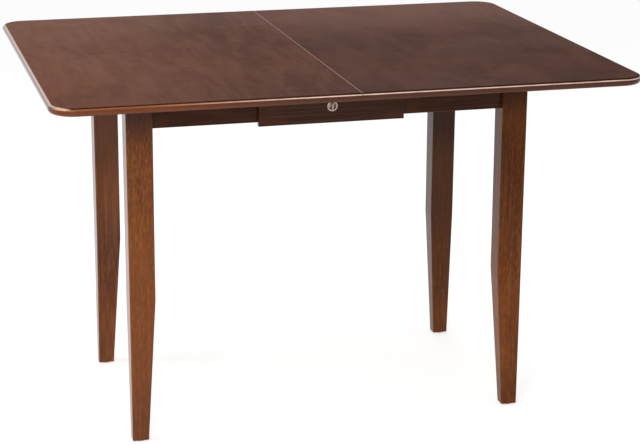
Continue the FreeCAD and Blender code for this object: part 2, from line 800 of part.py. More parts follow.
def pinion(centre_y):
    """Involute pinion with a hub below, standing on the flange of its spindle."""
    base_radius = pitch_radius * math.cos(pressure_angle)
    tip_radius = pitch_radius + addendum
    root_radius = pitch_radius - dedendum
    half_at_pitch = (tooth_pitch / 2 - tooth_play) / 2 / pitch_radius
    z0 = gear_level - pinion_width / 2

    def half_angle(radius):
        """Half the tooth's angle at a radius on or outside the base circle."""
        return half_at_pitch + involute(pressure_angle) - involute(math.acos(base_radius / radius))

    def at(radius, angle):
        return Vector(radius * math.cos(angle), centre_y + radius * math.sin(angle), z0)

    middle_radius = (base_radius + tip_radius) / 2
    step = 2 * math.pi / gear_teeth
    edges = []
    for tooth in range(gear_teeth):
        middle = tooth * step + math.pi / 2
        root_left = at(root_radius, middle - half_angle(base_radius))
        base_left = at(base_radius, middle - half_angle(base_radius))
        tip_left = at(tip_radius, middle - half_angle(tip_radius))
        tip_right = at(tip_radius, middle + half_angle(tip_radius))
        base_right = at(base_radius, middle + half_angle(base_radius))
        root_right = at(root_radius, middle + half_angle(base_radius))
        flank_left = at(middle_radius, middle - half_angle(middle_radius))
        flank_right = at(middle_radius, middle + half_angle(middle_radius))
        valley = at(root_radius, middle + step / 2)
        next_root = at(root_radius, middle + step - half_angle(base_radius))
        edges.append(Part.makeLine(root_left, base_left))
        edges.append(Part.Arc(base_left, flank_left, tip_left).toShape())
        edges.append(Part.Arc(tip_left, at(tip_radius, middle), tip_right).toShape())
        edges.append(Part.Arc(tip_right, flank_right, base_right).toShape())
        edges.append(Part.makeLine(base_right, root_right))
        edges.append(Part.Arc(root_right, valley, next_root).toShape())
    wheel = Part.Face(Part.Wire(edges)).extrude(Vector(0, 0, pinion_width))
    hub_z = gear_board_top + flange_thickness + running_gap
    hub = Part.makeCylinder(pinion_hub_diameter / 2, z0 - hub_z, Vector(0, centre_y, hub_z))
    bore = Part.makeCylinder(pinion_bore / 2 + bearing_gap, z0 + pinion_width - hub_z,
                             Vector(0, centre_y, hub_z))
    return wheel.fuse(hub).cut(bore).removeSplitter()


def gear_board(centre_y):
    """Board between the cross rails that carries a pinion's spindle."""
    board = box(-cross_rail_inner_x, cross_rail_inner_x, centre_y - gear_board_width / 2,
                centre_y + gear_board_width / 2, cross_rail_bottom, gear_board_top)
    for side in (-1, 1):
        own_screws = [place for place in board_screw_places(side) if place.y * centre_y > 0]
        board = drilled(board, own_screws, -along_x * side, board_screw_length, screw_size)
    return drilled(board, flange_screw_places(centre_y), -along_z, flange_screw_length,
                   small_screw_size)


def board_screw_places(side):
    """Heads on the outer face of the right cross rail, or of the left one for side -1."""
    level = (cross_rail_bottom + gear_board_top) / 2
    return [Vector(side * cross_rail_outer_x, centre, level) for centre in (-gear_y, gear_y)]


def flange_screw_places(centre_y):
    """Heads flush in the top of a spindle's flange, in line along the board."""
    level = gear_board_top + flange_thickness
    return [Vector(side * flange_screw_circle / 2, centre_y, level) for side in (-1, 1)]


def clip_level():
    return gear_level + pinion_width / 2 + running_gap


def pinion_spindle(centre_y):
    """Steel spindle with a flange that is screwed to the gear board."""
    base = Vector(0, centre_y, gear_board_top)
    flange = Part.makeCylinder(flange_diameter / 2, flange_thickness, base)
    shaft = Part.makeCylinder(pinion_bore / 2, clip_level() + clip_thickness + spindle_end
                              - gear_board_top, base)
    spindle = flange.fuse(shaft).cut(clip_groove(centre_y))
    return drilled(spindle, flange_screw_places(centre_y), -along_z, flange_screw_length,
                   small_screw_size).removeSplitter()


def clip_groove(centre_y):
    base = Vector(0, centre_y, clip_level())
    outer = Part.makeCylinder(pinion_bore / 2 + cut_margin, clip_thickness, base)
    return outer.cut(Part.makeCylinder(pinion_bore / 2 - groove_depth, clip_thickness, base))


def spindle_clip(centre_y):
    """Snap ring in the spindle's groove, open towards the front."""
    base = Vector(0, centre_y, clip_level())
    ring = Part.makeCylinder(clip_diameter / 2, clip_thickness, base)
    shaft = Part.makeCylinder(pinion_bore / 2 - groove_depth, clip_thickness, base)
    mouth = box(-clip_mouth_half_width, clip_mouth_half_width, centre_y - clip_diameter,
                centre_y, clip_level(), clip_level() + clip_thickness)
    return ring.cut([shaft, mouth])


# ---------------------------------------------------------------- thumb-turn clamp

def clamp_point(y):
    """Point on the axis of the thumb-turn."""
    return Vector(0, y, clamp_level)


def bezel_inner_radius():
    return bezel_diameter / 2 - 2 * bezel_wall


def clamp_bezel():
    """Nickel cup in the front cover, with a rim in front and a floor behind the knob."""
    front = -leg_outer_y - bezel_rim
    rim = Part.makeCylinder(bezel_diameter / 2, bezel_rim, clamp_point(front), along_y)
    rim = rim.makeChamfer(bezel_chamfer, edges_at(rim, y=front))
    cup = Part.makeCylinder(bezel_diameter / 2 - bezel_wall, bezel_depth,
                            clamp_point(-leg_outer_y), along_y)
    hollow = Part.makeCylinder(bezel_inner_radius(), bezel_rim + bezel_depth - bezel_wall,
                               clamp_point(front), along_y)
    shaft_hole = Part.makeCylinder(clamp_screw_diameter / 2 + bearing_gap, bezel_depth,
                                   clamp_point(-leg_outer_y), along_y)
    return rim.fuse(cup).cut([hollow, shaft_hole]).removeSplitter()


def knob_back_y():
    """Back of the knob's disc, just off the floor of the bezel."""
    return -leg_outer_y + bezel_depth - bezel_wall - running_gap


def thumb_knob():
    """Round knob with an upright grip bar across it."""
    radius = bezel_inner_radius() - knob_gap
    disc_front = knob_back_y() - knob_disc_thickness
    disc = Part.makeCylinder(radius, knob_disc_thickness, clamp_point(disc_front), along_y)
    bar_front = -leg_outer_y - bezel_rim - knob_bar_reach
    bar = box(-knob_bar_width / 2, knob_bar_width / 2, bar_front, disc_front,
              clamp_level - radius, clamp_level + radius)
    round_limit = Part.makeCylinder(radius, disc_front - bar_front, clamp_point(bar_front), along_y)
    bar = bar.common(round_limit)
    bar = bar.makeFillet(knob_bar_radius, edges_at(bar, y=bar_front))
    return disc.fuse(bar).removeSplitter()


def runner_face_y():
    """Front face of the runner that the clamp presses."""
    return left_runner_starts()[0]


def clamp_screw():
    """Steel screw from the knob's disc to the pressure pad."""
    end = runner_face_y() - running_gap - pad_thickness / 2
    return Part.makeCylinder(clamp_screw_diameter / 2, end - knob_back_y(),
                             clamp_point(knob_back_y()), along_y)


def pressure_pad():
    """Nylon cap on the end of the clamp screw."""
    front = runner_face_y() - running_gap - pad_thickness
    cap = Part.makeCylinder(pad_diameter / 2, pad_thickness, clamp_point(front), along_y)
    return cap.cut(Part.makeCylinder(clamp_screw_diameter / 2, pad_thickness / 2,
                                     clamp_point(front), along_y))


def clamp_sleeve_blank():
    """Outside of the sleeve in the front apron."""
    return Part.makeCylinder(sleeve_diameter / 2, apron_thickness,
                             clamp_point(-apron_outer_y), along_y)


def clamp_sleeve():
    """Brass sleeve that guides the clamp screw, flanged inside the apron."""
    flange = Part.makeCylinder(sleeve_flange_diameter / 2, sleeve_flange_thickness,
                               clamp_point(-apron_inner_y), along_y)
    hole = Part.makeCylinder(clamp_screw_diameter / 2 + bearing_gap,
                             apron_thickness + sleeve_flange_thickness,
                             clamp_point(-apron_outer_y), along_y)
    return clamp_sleeve_blank().fuse(flange).cut(hole).removeSplitter()


# ---------------------------------------------------------------- every node

def frame_nodes():
    legs = four_corners(leg())
    boards = [gear_board(centre) for centre in (-gear_y, gear_y)]
    cover_screws = (screws(cover_screw_places(1), along_y, short_screw_length, screw_size)
                    + screws(cover_screw_places(-1), -along_y, short_screw_length, screw_size))
    board_screws = (screws(board_screw_places(1), -along_x, board_screw_length, screw_size)
                    + screws(board_screw_places(-1), along_x, board_screw_length, screw_size))
    flange_screws = [fastener for centre in (-gear_y, gear_y)
                     for fastener in screws(flange_screw_places(centre), -along_z,
                                            flange_screw_length, small_screw_size)]
    return {
        "rear_right_leg": legs[0],
        "front_right_leg": legs[1],
        "rear_left_leg": legs[2],
        "front_left_leg": legs[3],
        "foot_glides": four_corners(glide()),
        "front_apron": front_apron(),
        "rear_apron": rear_apron(),
        "front_cover": front_cover(),
        "rear_cover": rear_cover(),
        "cover_screws": cover_screws,
        "left_end_rail": left_end_rail(),
        "right_end_rail": half_turned(left_end_rail()),
        "left_cross_rail": mirrored(right_cross_rail(), along_x),
        "right_cross_rail": right_cross_rail(),
        "corner_blocks": four_corners(corner_block()),
        "hanger_bolts": four_corners(hanger_bolt()),
        "bolt_washers": four_corners(bolt_washer()),
        "bolt_nuts": four_corners(bolt_nut()),
        "front_gear_board": boards[0],
        "rear_gear_board": boards[1],
        "gear_board_screws": board_screws,
        "pinion_spindles": [pinion_spindle(centre) for centre in (-gear_y, gear_y)],
        "spindle_clips": [spindle_clip(centre) for centre in (-gear_y, gear_y)],
        "spindle_screws": flange_screws,
        "clamp_bezel": clamp_bezel(),
        "clamp_sleeve": clamp_sleeve(),
    }


def leaf_nodes():
    return {
        "leaf_lower_panel": leaf_panel(lower_panel_z),
        "leaf_upper_panel": leaf_panel(upper_panel_z),
        **hinge_nodes(),
        "leaf_bumpers": leaf_bumpers(),
        "leaf_rest_pads": leaf_rest_pads(),
        "leaf_pins": leaf_pins(),
    }


def half_nodes():
    """Both halves of the top. The right one is the left one turned half a turn."""
    starts = dict(zip(("front", "rear"), left_runner_starts()))
    opposite = {"front": "rear", "rear": "front"}
    nodes = {
        "left_top_panel": left_top_panel(),
        "right_top_panel": right_top_panel(),
        "seam_pins": seam_pins(),
    }
    shared = {
        "batten": left_batten(),
        "short_screws": (screws(batten_screw_places(), along_z, short_screw_length, screw_size)
                         + screws([stop_screw_place(start) for start in starts.values()],
                                  -along_z, short_screw_length, screw_size)),
        "runner_screws": screws(runner_screw_places(), along_z, runner_screw_length, screw_size),
        "travel_stops": [travel_stop(start) for start in starts.values()],
        "rack_screws": [fastener for start in starts.values()
                        for fastener in screws(rack_screw_places(start), along_y,
                                               rack_screw_length(), small_screw_size)],
    }
    for name, shape in shared.items():
        pieces = shape if isinstance(shape, list) else [shape]
        nodes["left_" + name] = pieces
        nodes["right_" + name] = [half_turned(piece) for piece in pieces]
    for place, start in starts.items():
        nodes["left_" + place + "_runner"] = left_runner(start)
        nodes["left_" + place + "_rack"] = rack(start)
        nodes["right_" + opposite[place] + "_runner"] = half_turned(left_runner(start))
        nodes["right_" + opposite[place] + "_rack"] = half_turned(rack(start))
    return nodes


def turning_nodes():
    return {
        "front_pinion": pinion(-gear_y),
        "rear_pinion": pinion(gear_y),
        "thumb_knob": thumb_knob(),
        "clamp_screw": clamp_screw(),
        "pressure_pad": pressure_pad(),
    }


os.makedirs("parts", exist_ok=True)
for group in (frame_nodes(), leaf_nodes(), half_nodes(), turning_nodes()):
    for name, pieces in group.items():
        solids = pieces if isinstance(pieces, list) else [pieces]
        node = solids[0] if len(solids) == 1 else Part.makeCompound(solids)
        node.exportStep("parts/" + name + ".step")
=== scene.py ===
# %% [markdown]
# # A dining table with a folding leaf
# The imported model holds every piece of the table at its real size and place. This script dresses
# it: it gives each surface its finish, and models again the pieces whose CAD solid is too plain
# to be looked at closely. Loading the frame first means that a new piece can take its place and
# size from the piece that it stands for, so that nothing is fitted by eye.

# %% Load the frame
import bmesh
import bpy
import json
import math
from mathutils import Matrix, Vector

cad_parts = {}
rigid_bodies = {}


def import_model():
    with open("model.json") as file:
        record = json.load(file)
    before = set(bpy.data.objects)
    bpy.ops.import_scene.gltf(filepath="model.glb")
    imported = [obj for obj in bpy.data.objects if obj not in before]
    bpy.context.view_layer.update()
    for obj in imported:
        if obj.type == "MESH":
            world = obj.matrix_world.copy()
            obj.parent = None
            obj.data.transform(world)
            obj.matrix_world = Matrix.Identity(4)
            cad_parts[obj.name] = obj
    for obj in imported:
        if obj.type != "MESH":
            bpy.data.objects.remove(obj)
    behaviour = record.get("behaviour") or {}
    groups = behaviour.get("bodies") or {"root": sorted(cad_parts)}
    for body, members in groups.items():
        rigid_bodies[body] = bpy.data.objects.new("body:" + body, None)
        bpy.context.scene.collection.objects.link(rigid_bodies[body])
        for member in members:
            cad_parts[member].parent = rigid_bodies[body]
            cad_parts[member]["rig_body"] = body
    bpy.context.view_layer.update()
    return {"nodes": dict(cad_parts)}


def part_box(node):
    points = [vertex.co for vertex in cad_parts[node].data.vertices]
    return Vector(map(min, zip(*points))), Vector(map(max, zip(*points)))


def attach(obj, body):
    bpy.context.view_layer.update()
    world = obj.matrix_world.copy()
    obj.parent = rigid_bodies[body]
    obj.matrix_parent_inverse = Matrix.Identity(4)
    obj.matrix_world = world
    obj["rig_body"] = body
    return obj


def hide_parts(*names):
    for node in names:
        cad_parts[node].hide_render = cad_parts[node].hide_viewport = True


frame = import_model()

nodes = frame["nodes"]
cad_materials = {material.name for material in bpy.data.materials}
bpy.ops.object.select_all(action="DESELECT")
print("pieces in the frame:", len(nodes))

# %% [markdown]
# ## Camera
# A table is usually seen from a standing person's eye height, from some steps back. At that
# distance a long lens fills the frame with it and keeps its edges nearly parallel. The camera is
# placed by its position and by three turns: yaw about the vertical, pitch up or down, and roll
# about its own axis.

# %% Camera
IMAGE_WIDTH = 640
SENSOR_WIDTH = 36
EYE = Vector((-0.97065, -3.68382, 1.52408))
YAW = math.radians(14.72)
PITCH = math.radians(-15.82)
ROLL = math.radians(0.19)
FOCAL_PIXELS = 1822.92
CENTRE_SHIFT = (20 / IMAGE_WIDTH, -32 / IMAGE_WIDTH)

sight = Vector((math.sin(YAW) * math.cos(PITCH), math.cos(YAW) * math.cos(PITCH), math.sin(PITCH)))
level = Vector((math.cos(YAW), -math.sin(YAW), 0))
upward = level.cross(sight)
right = level * math.cos(ROLL) + upward * math.sin(ROLL)
top = upward * math.cos(ROLL) - level * math.sin(ROLL)

camera_data = bpy.data.cameras.new("table_camera")
camera_data.sensor_width = SENSOR_WIDTH
camera_data.lens = FOCAL_PIXELS / IMAGE_WIDTH * SENSOR_WIDTH
camera_data.shift_x, camera_data.shift_y = CENTRE_SHIFT
camera = bpy.data.objects.new("table_camera", camera_data)
bpy.context.scene.collection.objects.link(camera)
camera.matrix_world = Matrix.Translation(EYE) @ Matrix((right, top, -sight)).transposed().to_4x4()
bpy.context.scene.camera = camera
print("lens in millimetres:", round(camera_data.lens, 1))

# %% [markdown]
# ## Node helpers
# Every finish below is a small graph of shader nodes. Made by hand, each node would be dragged in
# and linked; in a script, a few helpers keep the graphs readable. They feed a node its inputs, add
# the nodes that are used most, start a node group with named sockets, and start a material whose
# Principled shader waits for its inputs.

# %% Adding nodes
def feed(tree, node, inputs):
    """Gives a node its inputs. Each is a plain value or another node's output socket."""
    for name, value in inputs.items():
        socket = node.inputs[name]
        if isinstance(value, bpy.types.NodeSocket):
            tree.links.new(value, socket)
        else:
            socket.default_value = value


def add(tree, kind, inputs=None, **settings):
    """Adds a node with its settings and its inputs."""
    node = tree.nodes.new(kind)
    for name, value in settings.items():
        setattr(node, name, value)
    feed(tree, node, inputs or {})
    return node


def maths(tree, operation, first, second=0.0, third=0.0):
    """Adds a Math node and returns its result."""
    return add(tree, "ShaderNodeMath", {0: first, 1: second, 2: third}, operation=operation).outputs[0]


def product(tree, first, *others):
    """Multiplies two or more values."""
    for other in others:
        first = maths(tree, "MULTIPLY", first, other)
    return first


def vector_maths(tree, operation, first, second):
    """Adds a Vector Math node that makes a vector, and returns it."""
    return add(tree, "ShaderNodeVectorMath", {0: first, 1: second}, operation=operation).outputs[0]


def remap(tree, value, low, high, to_low=0.0, to_high=1.0):
    """Maps a value smoothly from one range to another."""
    ranges = {"Value": value, "From Min": low, "From Max": high, "To Min": to_low, "To Max": to_high}
    return add(tree, "ShaderNodeMapRange", ranges, interpolation_type="SMOOTHSTEP").outputs["Result"]


def noise(tree, place, scale, detail, roughness=0.5, distortion=0.0):
    """Adds a noise texture and returns its value. The higher the scale, the finer the noise."""
    settings = {"Vector": place, "Scale": scale, "Detail": detail,
                "Roughness": roughness, "Distortion": distortion}
    return add(tree, "ShaderNodeTexNoise", settings).outputs["Fac"]


def bump(tree, height, strength, distance, **normal):
    """Turns a height into a normal, on top of another normal if Normal is given."""
    settings = {"Height": height, "Strength": strength, "Distance": distance}
    return add(tree, "ShaderNodeBump", settings | normal).outputs[0]


print("node helpers ready")

# %% [markdown]
# A maker picks colours as they look on a screen, but nodes reckon with light, where half
# as much light is half the number. So each colour is written as on a screen and turned into linear
# values once. Colours are mixed by a share, which can be a mask that changes over the surface.

# %% Colours
def srgb(red, green, blue):
    """Turns a colour as a screen shows it, 0 to 255, into the linear values that nodes use."""
    parts = [c / 255 for c in (red, green, blue)]
    return [c / 12.92 if c <= 0.04045 else ((c + 0.055) / 1.055) ** 2.4 for c in parts] + [1]


def shade(colour, factor):
    """A darker or lighter shade of a colour."""
    return [min(1, c * factor) for c in colour[:3]] + [1]


def blend_colour(tree, share, first, second, way="MIX"):
    """Mixes two colours by a share from 0 to 1."""
    mix = add(tree, "ShaderNodeMix", {0: share, 6: first, 7: second}, data_type="RGBA", blend_type=way)
    return mix.outputs[2]


print("middle grey in linear values:", [round(v, 3) for v in srgb(128, 128, 128)])

# %% [markdown]
# An effect that many materials share is made once, as a node group with named sockets, and placed
# in each of them. Patterns read the place of a point on its object, in metres, and not an unwrapped
# image, because then they are as large as in life and run through the board as grain does.

# %% Groups and materials
def new_group(name, inputs, outputs):
    """Starts a shader node group. Inputs are (name, kind, value), outputs are (name, kind)."""
    group = bpy.data.node_groups.new(name, "ShaderNodeTree")
    for label, kind, value in inputs:
        socket = group.interface.new_socket(label, in_out="INPUT", socket_type="NodeSocket" + kind)
        if value is not None:
            socket.default_value = value
    for label, kind in outputs:
        group.interface.new_socket(label, in_out="OUTPUT", socket_type="NodeSocket" + kind)
    given = group.nodes.new("NodeGroupInput").outputs
    result = group.nodes.new("NodeGroupOutput")
    return group, given, result


def use_group(tree, group, inputs):
    """Places a node group in a material and returns its outputs."""
    return add(tree, "ShaderNodeGroup", inputs, node_tree=group).outputs


def new_material(name):
    """Starts a material with a plain Principled shader."""
    material = bpy.data.materials.new(name)
    material.use_nodes = True
    tree = material.node_tree
    tree.nodes.clear()
    shader = add(tree, "ShaderNodeBsdfPrincipled")
    add(tree, "ShaderNodeOutputMaterial", {"Surface": shader.outputs[0]})
    return material, tree, shader


def object_place(tree):
    """The place of a point on its object, in metres."""
    return add(tree, "ShaderNodeTexCoord").outputs["Object"]


print("group and material helpers ready")

# %% [markdown]
# ## Shared effects
# Stained hardwood has detail at five sizes: cloudy patches up to the width of a hand where the
# stain took unevenly, growth rings a few millimetres apart, fine streaks, flecks as long as a
# fingernail, and short dark pores. The rings are a saw wave that noise bends, and the other four
# are noise, stretched along the grain or across it. A node group makes them once, and each board
# uses it with its own seed, so that no two boards look cut from the same place. The texture is
# solid, so the ends of a board show end grain by themselves.

# %% Wood figure
SEED_JUMP = (3.7, 1.9, 2.3)
PATCH_FINENESS = 1.9
# Scales along and across the grain: the higher, the finer.
WARP_SCALE = (1.6, 14.0)
STREAK_SCALE = (5.0, 260.0)
PORE_SCALE = (45.0, 900.0)
FLECK_SCALE = (60.0, 300.0)
PORE_RANGE = (0.60, 0.70)
# The rings wander by the warp's reach, lean with the height, and end softly.
WARP_REACH = 0.11
RING_LEAN = 0.6
RING_SHARPNESS = 1.8
RING_END = 0.9


def wood_figure():
    """Group of the wood's patterns, for grain along X."""
    group, given, result = new_group(
        "wood_figure",
        [("Vector", "Vector", None), ("Seed", "Float", 0.0), ("Ring Spacing", "Float", 0.012),
         ("Blotches", "Float", 3.2), ("Stretch", "Float", 2.8)],
        [("Clouds", "Float"), ("Patches", "Float"), ("Rings", "Float"), ("Streaks", "Float"),
         ("Pores", "Float"), ("Flecks", "Float")],
    )
    jump = add(group, "ShaderNodeVectorMath", {0: SEED_JUMP, "Scale": given["Seed"]}, operation="SCALE")
    place = vector_maths(group, "ADD", given["Vector"], jump.outputs[0])

    def stretched(along, across):
        return vector_maths(group, "MULTIPLY", place, (along, across, across))

    def blotches(finer):
        along = product(group, given["Blotches"], finer)
        across = product(group, given["Stretch"], along)
        scales = add(group, "ShaderNodeCombineXYZ", {0: along, 1: across, 2: across}).outputs[0]
        return vector_maths(group, "MULTIPLY", place, scales)

    def pattern(scaled_place, **settings):
        return noise(group, scaled_place, 1.0, **settings)

    warp = pattern(stretched(*WARP_SCALE), detail=2.0)
    parts = add(group, "ShaderNodeSeparateXYZ", {0: place}).outputs
    across = maths(group, "MULTIPLY_ADD", warp, WARP_REACH, parts["Y"])
    depth = maths(group, "MULTIPLY_ADD", parts["Z"], RING_LEAN, across)
    saw = maths(group, "FRACT", maths(group, "DIVIDE", depth, given["Ring Spacing"]))
    sharp = maths(group, "POWER", saw, RING_SHARPNESS)
    pore_noise = pattern(stretched(*PORE_SCALE), detail=2.0, roughness=0.6)
    feed(group, result, {
        "Clouds": pattern(blotches(1.0), detail=3.0, roughness=0.55, distortion=0.6),
        "Patches": pattern(blotches(PATCH_FINENESS), detail=2.0, distortion=0.8),
        "Rings": product(group, sharp, remap(group, saw, RING_END, 1.0, 1.0, 0.0)),
        "Streaks": pattern(stretched(*STREAK_SCALE), detail=4.0, roughness=0.65),
        "Pores": remap(group, pore_noise, *PORE_RANGE),
        "Flecks": pattern(stretched(*FLECK_SCALE), detail=3.0, roughness=0.7),
    })
    return group


WOOD_FIGURE = wood_figure()
print("group:", WOOD_FIGURE.name)

# %% [markdown]
# Edges give away whether a thing is made of wood or of numbers. A maker breaks every sharp edge
# with sandpaper, and the stain there is thinner and lighter. Blender's Bevel node returns the
# normal that a slightly rounded edge would have: it feeds the shader, so that the edge catches a
# line of light, and its distance from the true normal is the mask for the lighter stain.

# %% Broken edges
BEVEL_SAMPLES = 6
EDGE_AGREEMENT = (0.995, 0.80)
WEAR_SCALE = 38.0
WEAR_RANGE = (0.35, 0.62, 0.35, 1.0)


def broken_edges():
    """Group that finds worn edges: their mask, uneven as wear is, and a rounded normal."""
    group, given, result = new_group(
        "broken_edges",
        [("Radius", "Float", 0.001), ("Vector", "Vector", None)],
        [("Mask", "Float"), ("Normal", "Vector")],
    )
    rounded = add(group, "ShaderNodeBevel", {"Radius": given["Radius"]}, samples=BEVEL_SAMPLES).outputs[0]
    true = add(group, "ShaderNodeNewGeometry").outputs["Normal"]
    agreement = add(group, "ShaderNodeVectorMath", {0: rounded, 1: true}, operation="DOT_PRODUCT")
    turned = remap(group, agreement.outputs["Value"], *EDGE_AGREEMENT)
    uneven = remap(group, noise(group, given["Vector"], WEAR_SCALE, detail=4.0), *WEAR_RANGE)
    feed(group, result, {"Mask": product(group, turned, uneven), "Normal": rounded})
    return group


BROKEN_EDGES = broken_edges()
print("group:", BROKEN_EDGES.name)

# %% [markdown]
# A sprayed lacquer is never a perfect mirror. It has a very low swell, called orange peel, and in
# use it collects a haze of dust and faint rub marks that make some places a little duller.

# %% Lacquer skin
SWELL_SCALE = 120.0
RUB_SCALE = 7.0
RUB_RANGE = (0.42, 0.66)


def lacquer_skin():
    """Group for a lacquer's roughness, from its gloss and its haze, and its swell."""
    group, given, result = new_group(
        "lacquer_skin",
        [("Vector", "Vector", None), ("Gloss", "Float", 0.2), ("Haze", "Float", 0.1)],
        [("Roughness", "Float"), ("Swell", "Float")],
    )
    rubbed = noise(group, given["Vector"], RUB_SCALE, detail=5.0, roughness=0.6)
    dull = remap(group, rubbed, *RUB_RANGE)
    feed(group, result, {
        "Roughness": maths(group, "MULTIPLY_ADD", dull, given["Haze"], given["Gloss"]),
        "Swell": noise(group, given["Vector"], SWELL_SCALE, detail=1.0),
    })
    return group


LACQUER_SKIN = lacquer_skin()
print("group:", LACQUER_SKIN.name)

# %% [markdown]
# ## Painted light on the rim of the top
# The rounded edge of the top has its light and shade painted into its colour. Where its face turns
# away from the level it has a painted dark line of shade in the hollow under the top face, a pale
# painted highlight along the crest below that, and over this rounding painted shade that grows
# towards the right. The place along the table turns the crest highlight from golden at the left to
# pale at the right, and the rim's stain from paler at the left to deeper at the right, a painted
# falloff of light. The left end has a painted pale reflection above and a darker painted line below
# it, the faces at the seam have a thin painted highlight, and the front left corner has a painted
# golden highlight.
#
# These bands could be painted on an image, but then they would have to be drawn again whenever the
# edge changed. Here the direction that a face looks in tells them apart. The upward part of its
# normal is 1 on the flat top, 0 in the middle of the edge and below 0 underneath.

# %% Masks of the rim
# Places along the table and across it, in metres.
LEFT_TO_RIGHT = (-0.45, -0.02)
LEFT_END = (-0.45, -0.5)
FRONT_END = (-0.3, -0.4)
SEAM_REACH = (0.004, 0.008)
# The upward part of the normal.
FLAT_RANGE = (0.90, 0.995)
UNDER_RANGE = (-0.1, 0.3)
HOLLOW_RANGES = ((0.70, 0.80), (0.98, 0.999))
CREST_RANGES = ((0.34, 0.44), (0.60, 0.72))
ARRIS_RANGE = (0.05, 0.25)
WORN_RANGES = ((0.30, 0.55), (0.93, 0.8))
STEEP_RANGE = (0.70, 0.80)
# The sideways part of the normal, as seen from above.
LEFTWARD_RANGE = (-0.3, -0.85)
SQUARE_RANGE = (0.7, 0.9)
CORNER_RANGES = ((-0.2, -0.5), (-0.9, -0.7))
# How much of each band's painted highlight and painted shade shows.
SEAM_HIGHLIGHT_SHARE = 0.4
UNDER_SHADE_SHARE = 0.35
HOLLOW_SHARE = 0.9
CORNER_HIGHLIGHT_SHARE = 0.8
CREST_BREAKS = (0.35, 0.55, 0.8, 1.0)
# A little over 1, so that the level length of a flat face's normal isn't 0.
OVER_ONE = 1.0001


def rim_masks(tree, parts, figure):
    """The bands of the top's edge as masks from 0 to 1, from the place's parts and the figure."""
    normal = add(tree, "ShaderNodeNewGeometry").outputs["Normal"]
    facing = add(tree, "ShaderNodeSeparateXYZ", {0: normal}).outputs
    level = facing["Z"]
    tilt = maths(tree, "ABSOLUTE", level)
    level_length = maths(tree, "SQRT", maths(tree, "SUBTRACT", OVER_ONE, product(tree, level, level)))
    sideways = maths(tree, "DIVIDE", facing["X"], level_length)
    square = remap(tree, maths(tree, "ABSOLUTE", sideways), *SQUARE_RANGE)
    near_seam = remap(tree, maths(tree, "ABSOLUTE", parts["X"]), *SEAM_REACH, SEAM_HIGHLIGHT_SHARE, 0.0)
    at_seam = product(tree, near_seam, square)
    at_end = product(tree, remap(tree, sideways, *LEFTWARD_RANGE), remap(tree, parts["X"], *LEFT_END))
    to_right = remap(tree, parts["X"], *LEFT_TO_RIGHT)
    upright = remap(tree, tilt, *FLAT_RANGE, 1.0, 0.0)
    # Painted shade on the rounding under the top face, deeper towards the right.
    under = product(tree, remap(tree, level, *UNDER_RANGE, 0.0, UNDER_SHADE_SHARE), to_right)

    def between(rising, falling):
        return product(tree, remap(tree, level, *rising), remap(tree, level, *falling, 1.0, 0.0))

    return {
        "to_right": to_right,
        "at_end": at_end,
        "upright": upright,
        "under": product(tree, under, upright),
        # Painted shade in the hollow under the top face, and a painted pale reflection at the left end.
        "hollow_shade_and_end_reflection": product(tree, between(*HOLLOW_RANGES), HOLLOW_SHARE),
        # Painted highlight along the crest, with a darker painted line at the left end.
        "crest_highlight": product(tree, between(*CREST_RANGES), remap(tree, figure["Patches"], *CREST_BREAKS)),
        # Painted highlight on the rounded faces at the seam.
        "seam_highlight": product(tree, at_seam, product(tree, upright, remap(tree, level, *ARRIS_RANGE))),
        # Painted golden highlight on the front left corner.
        "corner": product(tree, *[remap(tree, sideways, *turned) for turned in CORNER_RANGES],
                          remap(tree, parts["Y"], *FRONT_END, 0.0, CORNER_HIGHLIGHT_SHARE),
                          *[remap(tree, level, *turned) for turned in WORN_RANGES]),
        "coat": maths(tree, "MAXIMUM", remap(tree, tilt, *STEEP_RANGE, 1.0, 0.0),
                      product(tree, at_end, upright)),
    }


print("masks of the rim ready")

# %% [markdown]
# Each band is a colour that covers what is under it by the share that its mask gives: the rim's
# stain first, then the painted shade and highlights, laid one on the other as a maker's coats are.
# So the order of the list is the order of the layers.

# %% Stain and painted light of the rim
# The rim's stain is paler at the left, a painted falloff of light; the crests, end line, seam and corner are
# painted highlights and reflection, and the darkest colours painted shade, which also gives the rim's dark
# streaks.
RIM_STAIN_AND_PAINTED_FALLOFF = (srgb(134, 70, 34), srgb(102, 54, 28))
CREST_HIGHLIGHTS = ((0.36, 0.105, 0.02, 1), (1.0, 0.75, 0.62, 1))
HOLLOW_SHADE_AND_STREAK = (0.03, 0.01, 0.006, 1)
# Painted pale reflection and a darker painted line at the left end.
END_REFLECTION = (0.62, 0.46, 0.42, 1)
END_SHADE = (0.13, 0.07, 0.055, 1)
SEAM_HIGHLIGHT_COLOUR = (0.62, 0.30, 0.19, 1)
CORNER_HIGHLIGHT = (0.95, 0.62, 0.40, 1)
RIM_STREAKS = (0.3, 0.7, 0.35, 0.0)


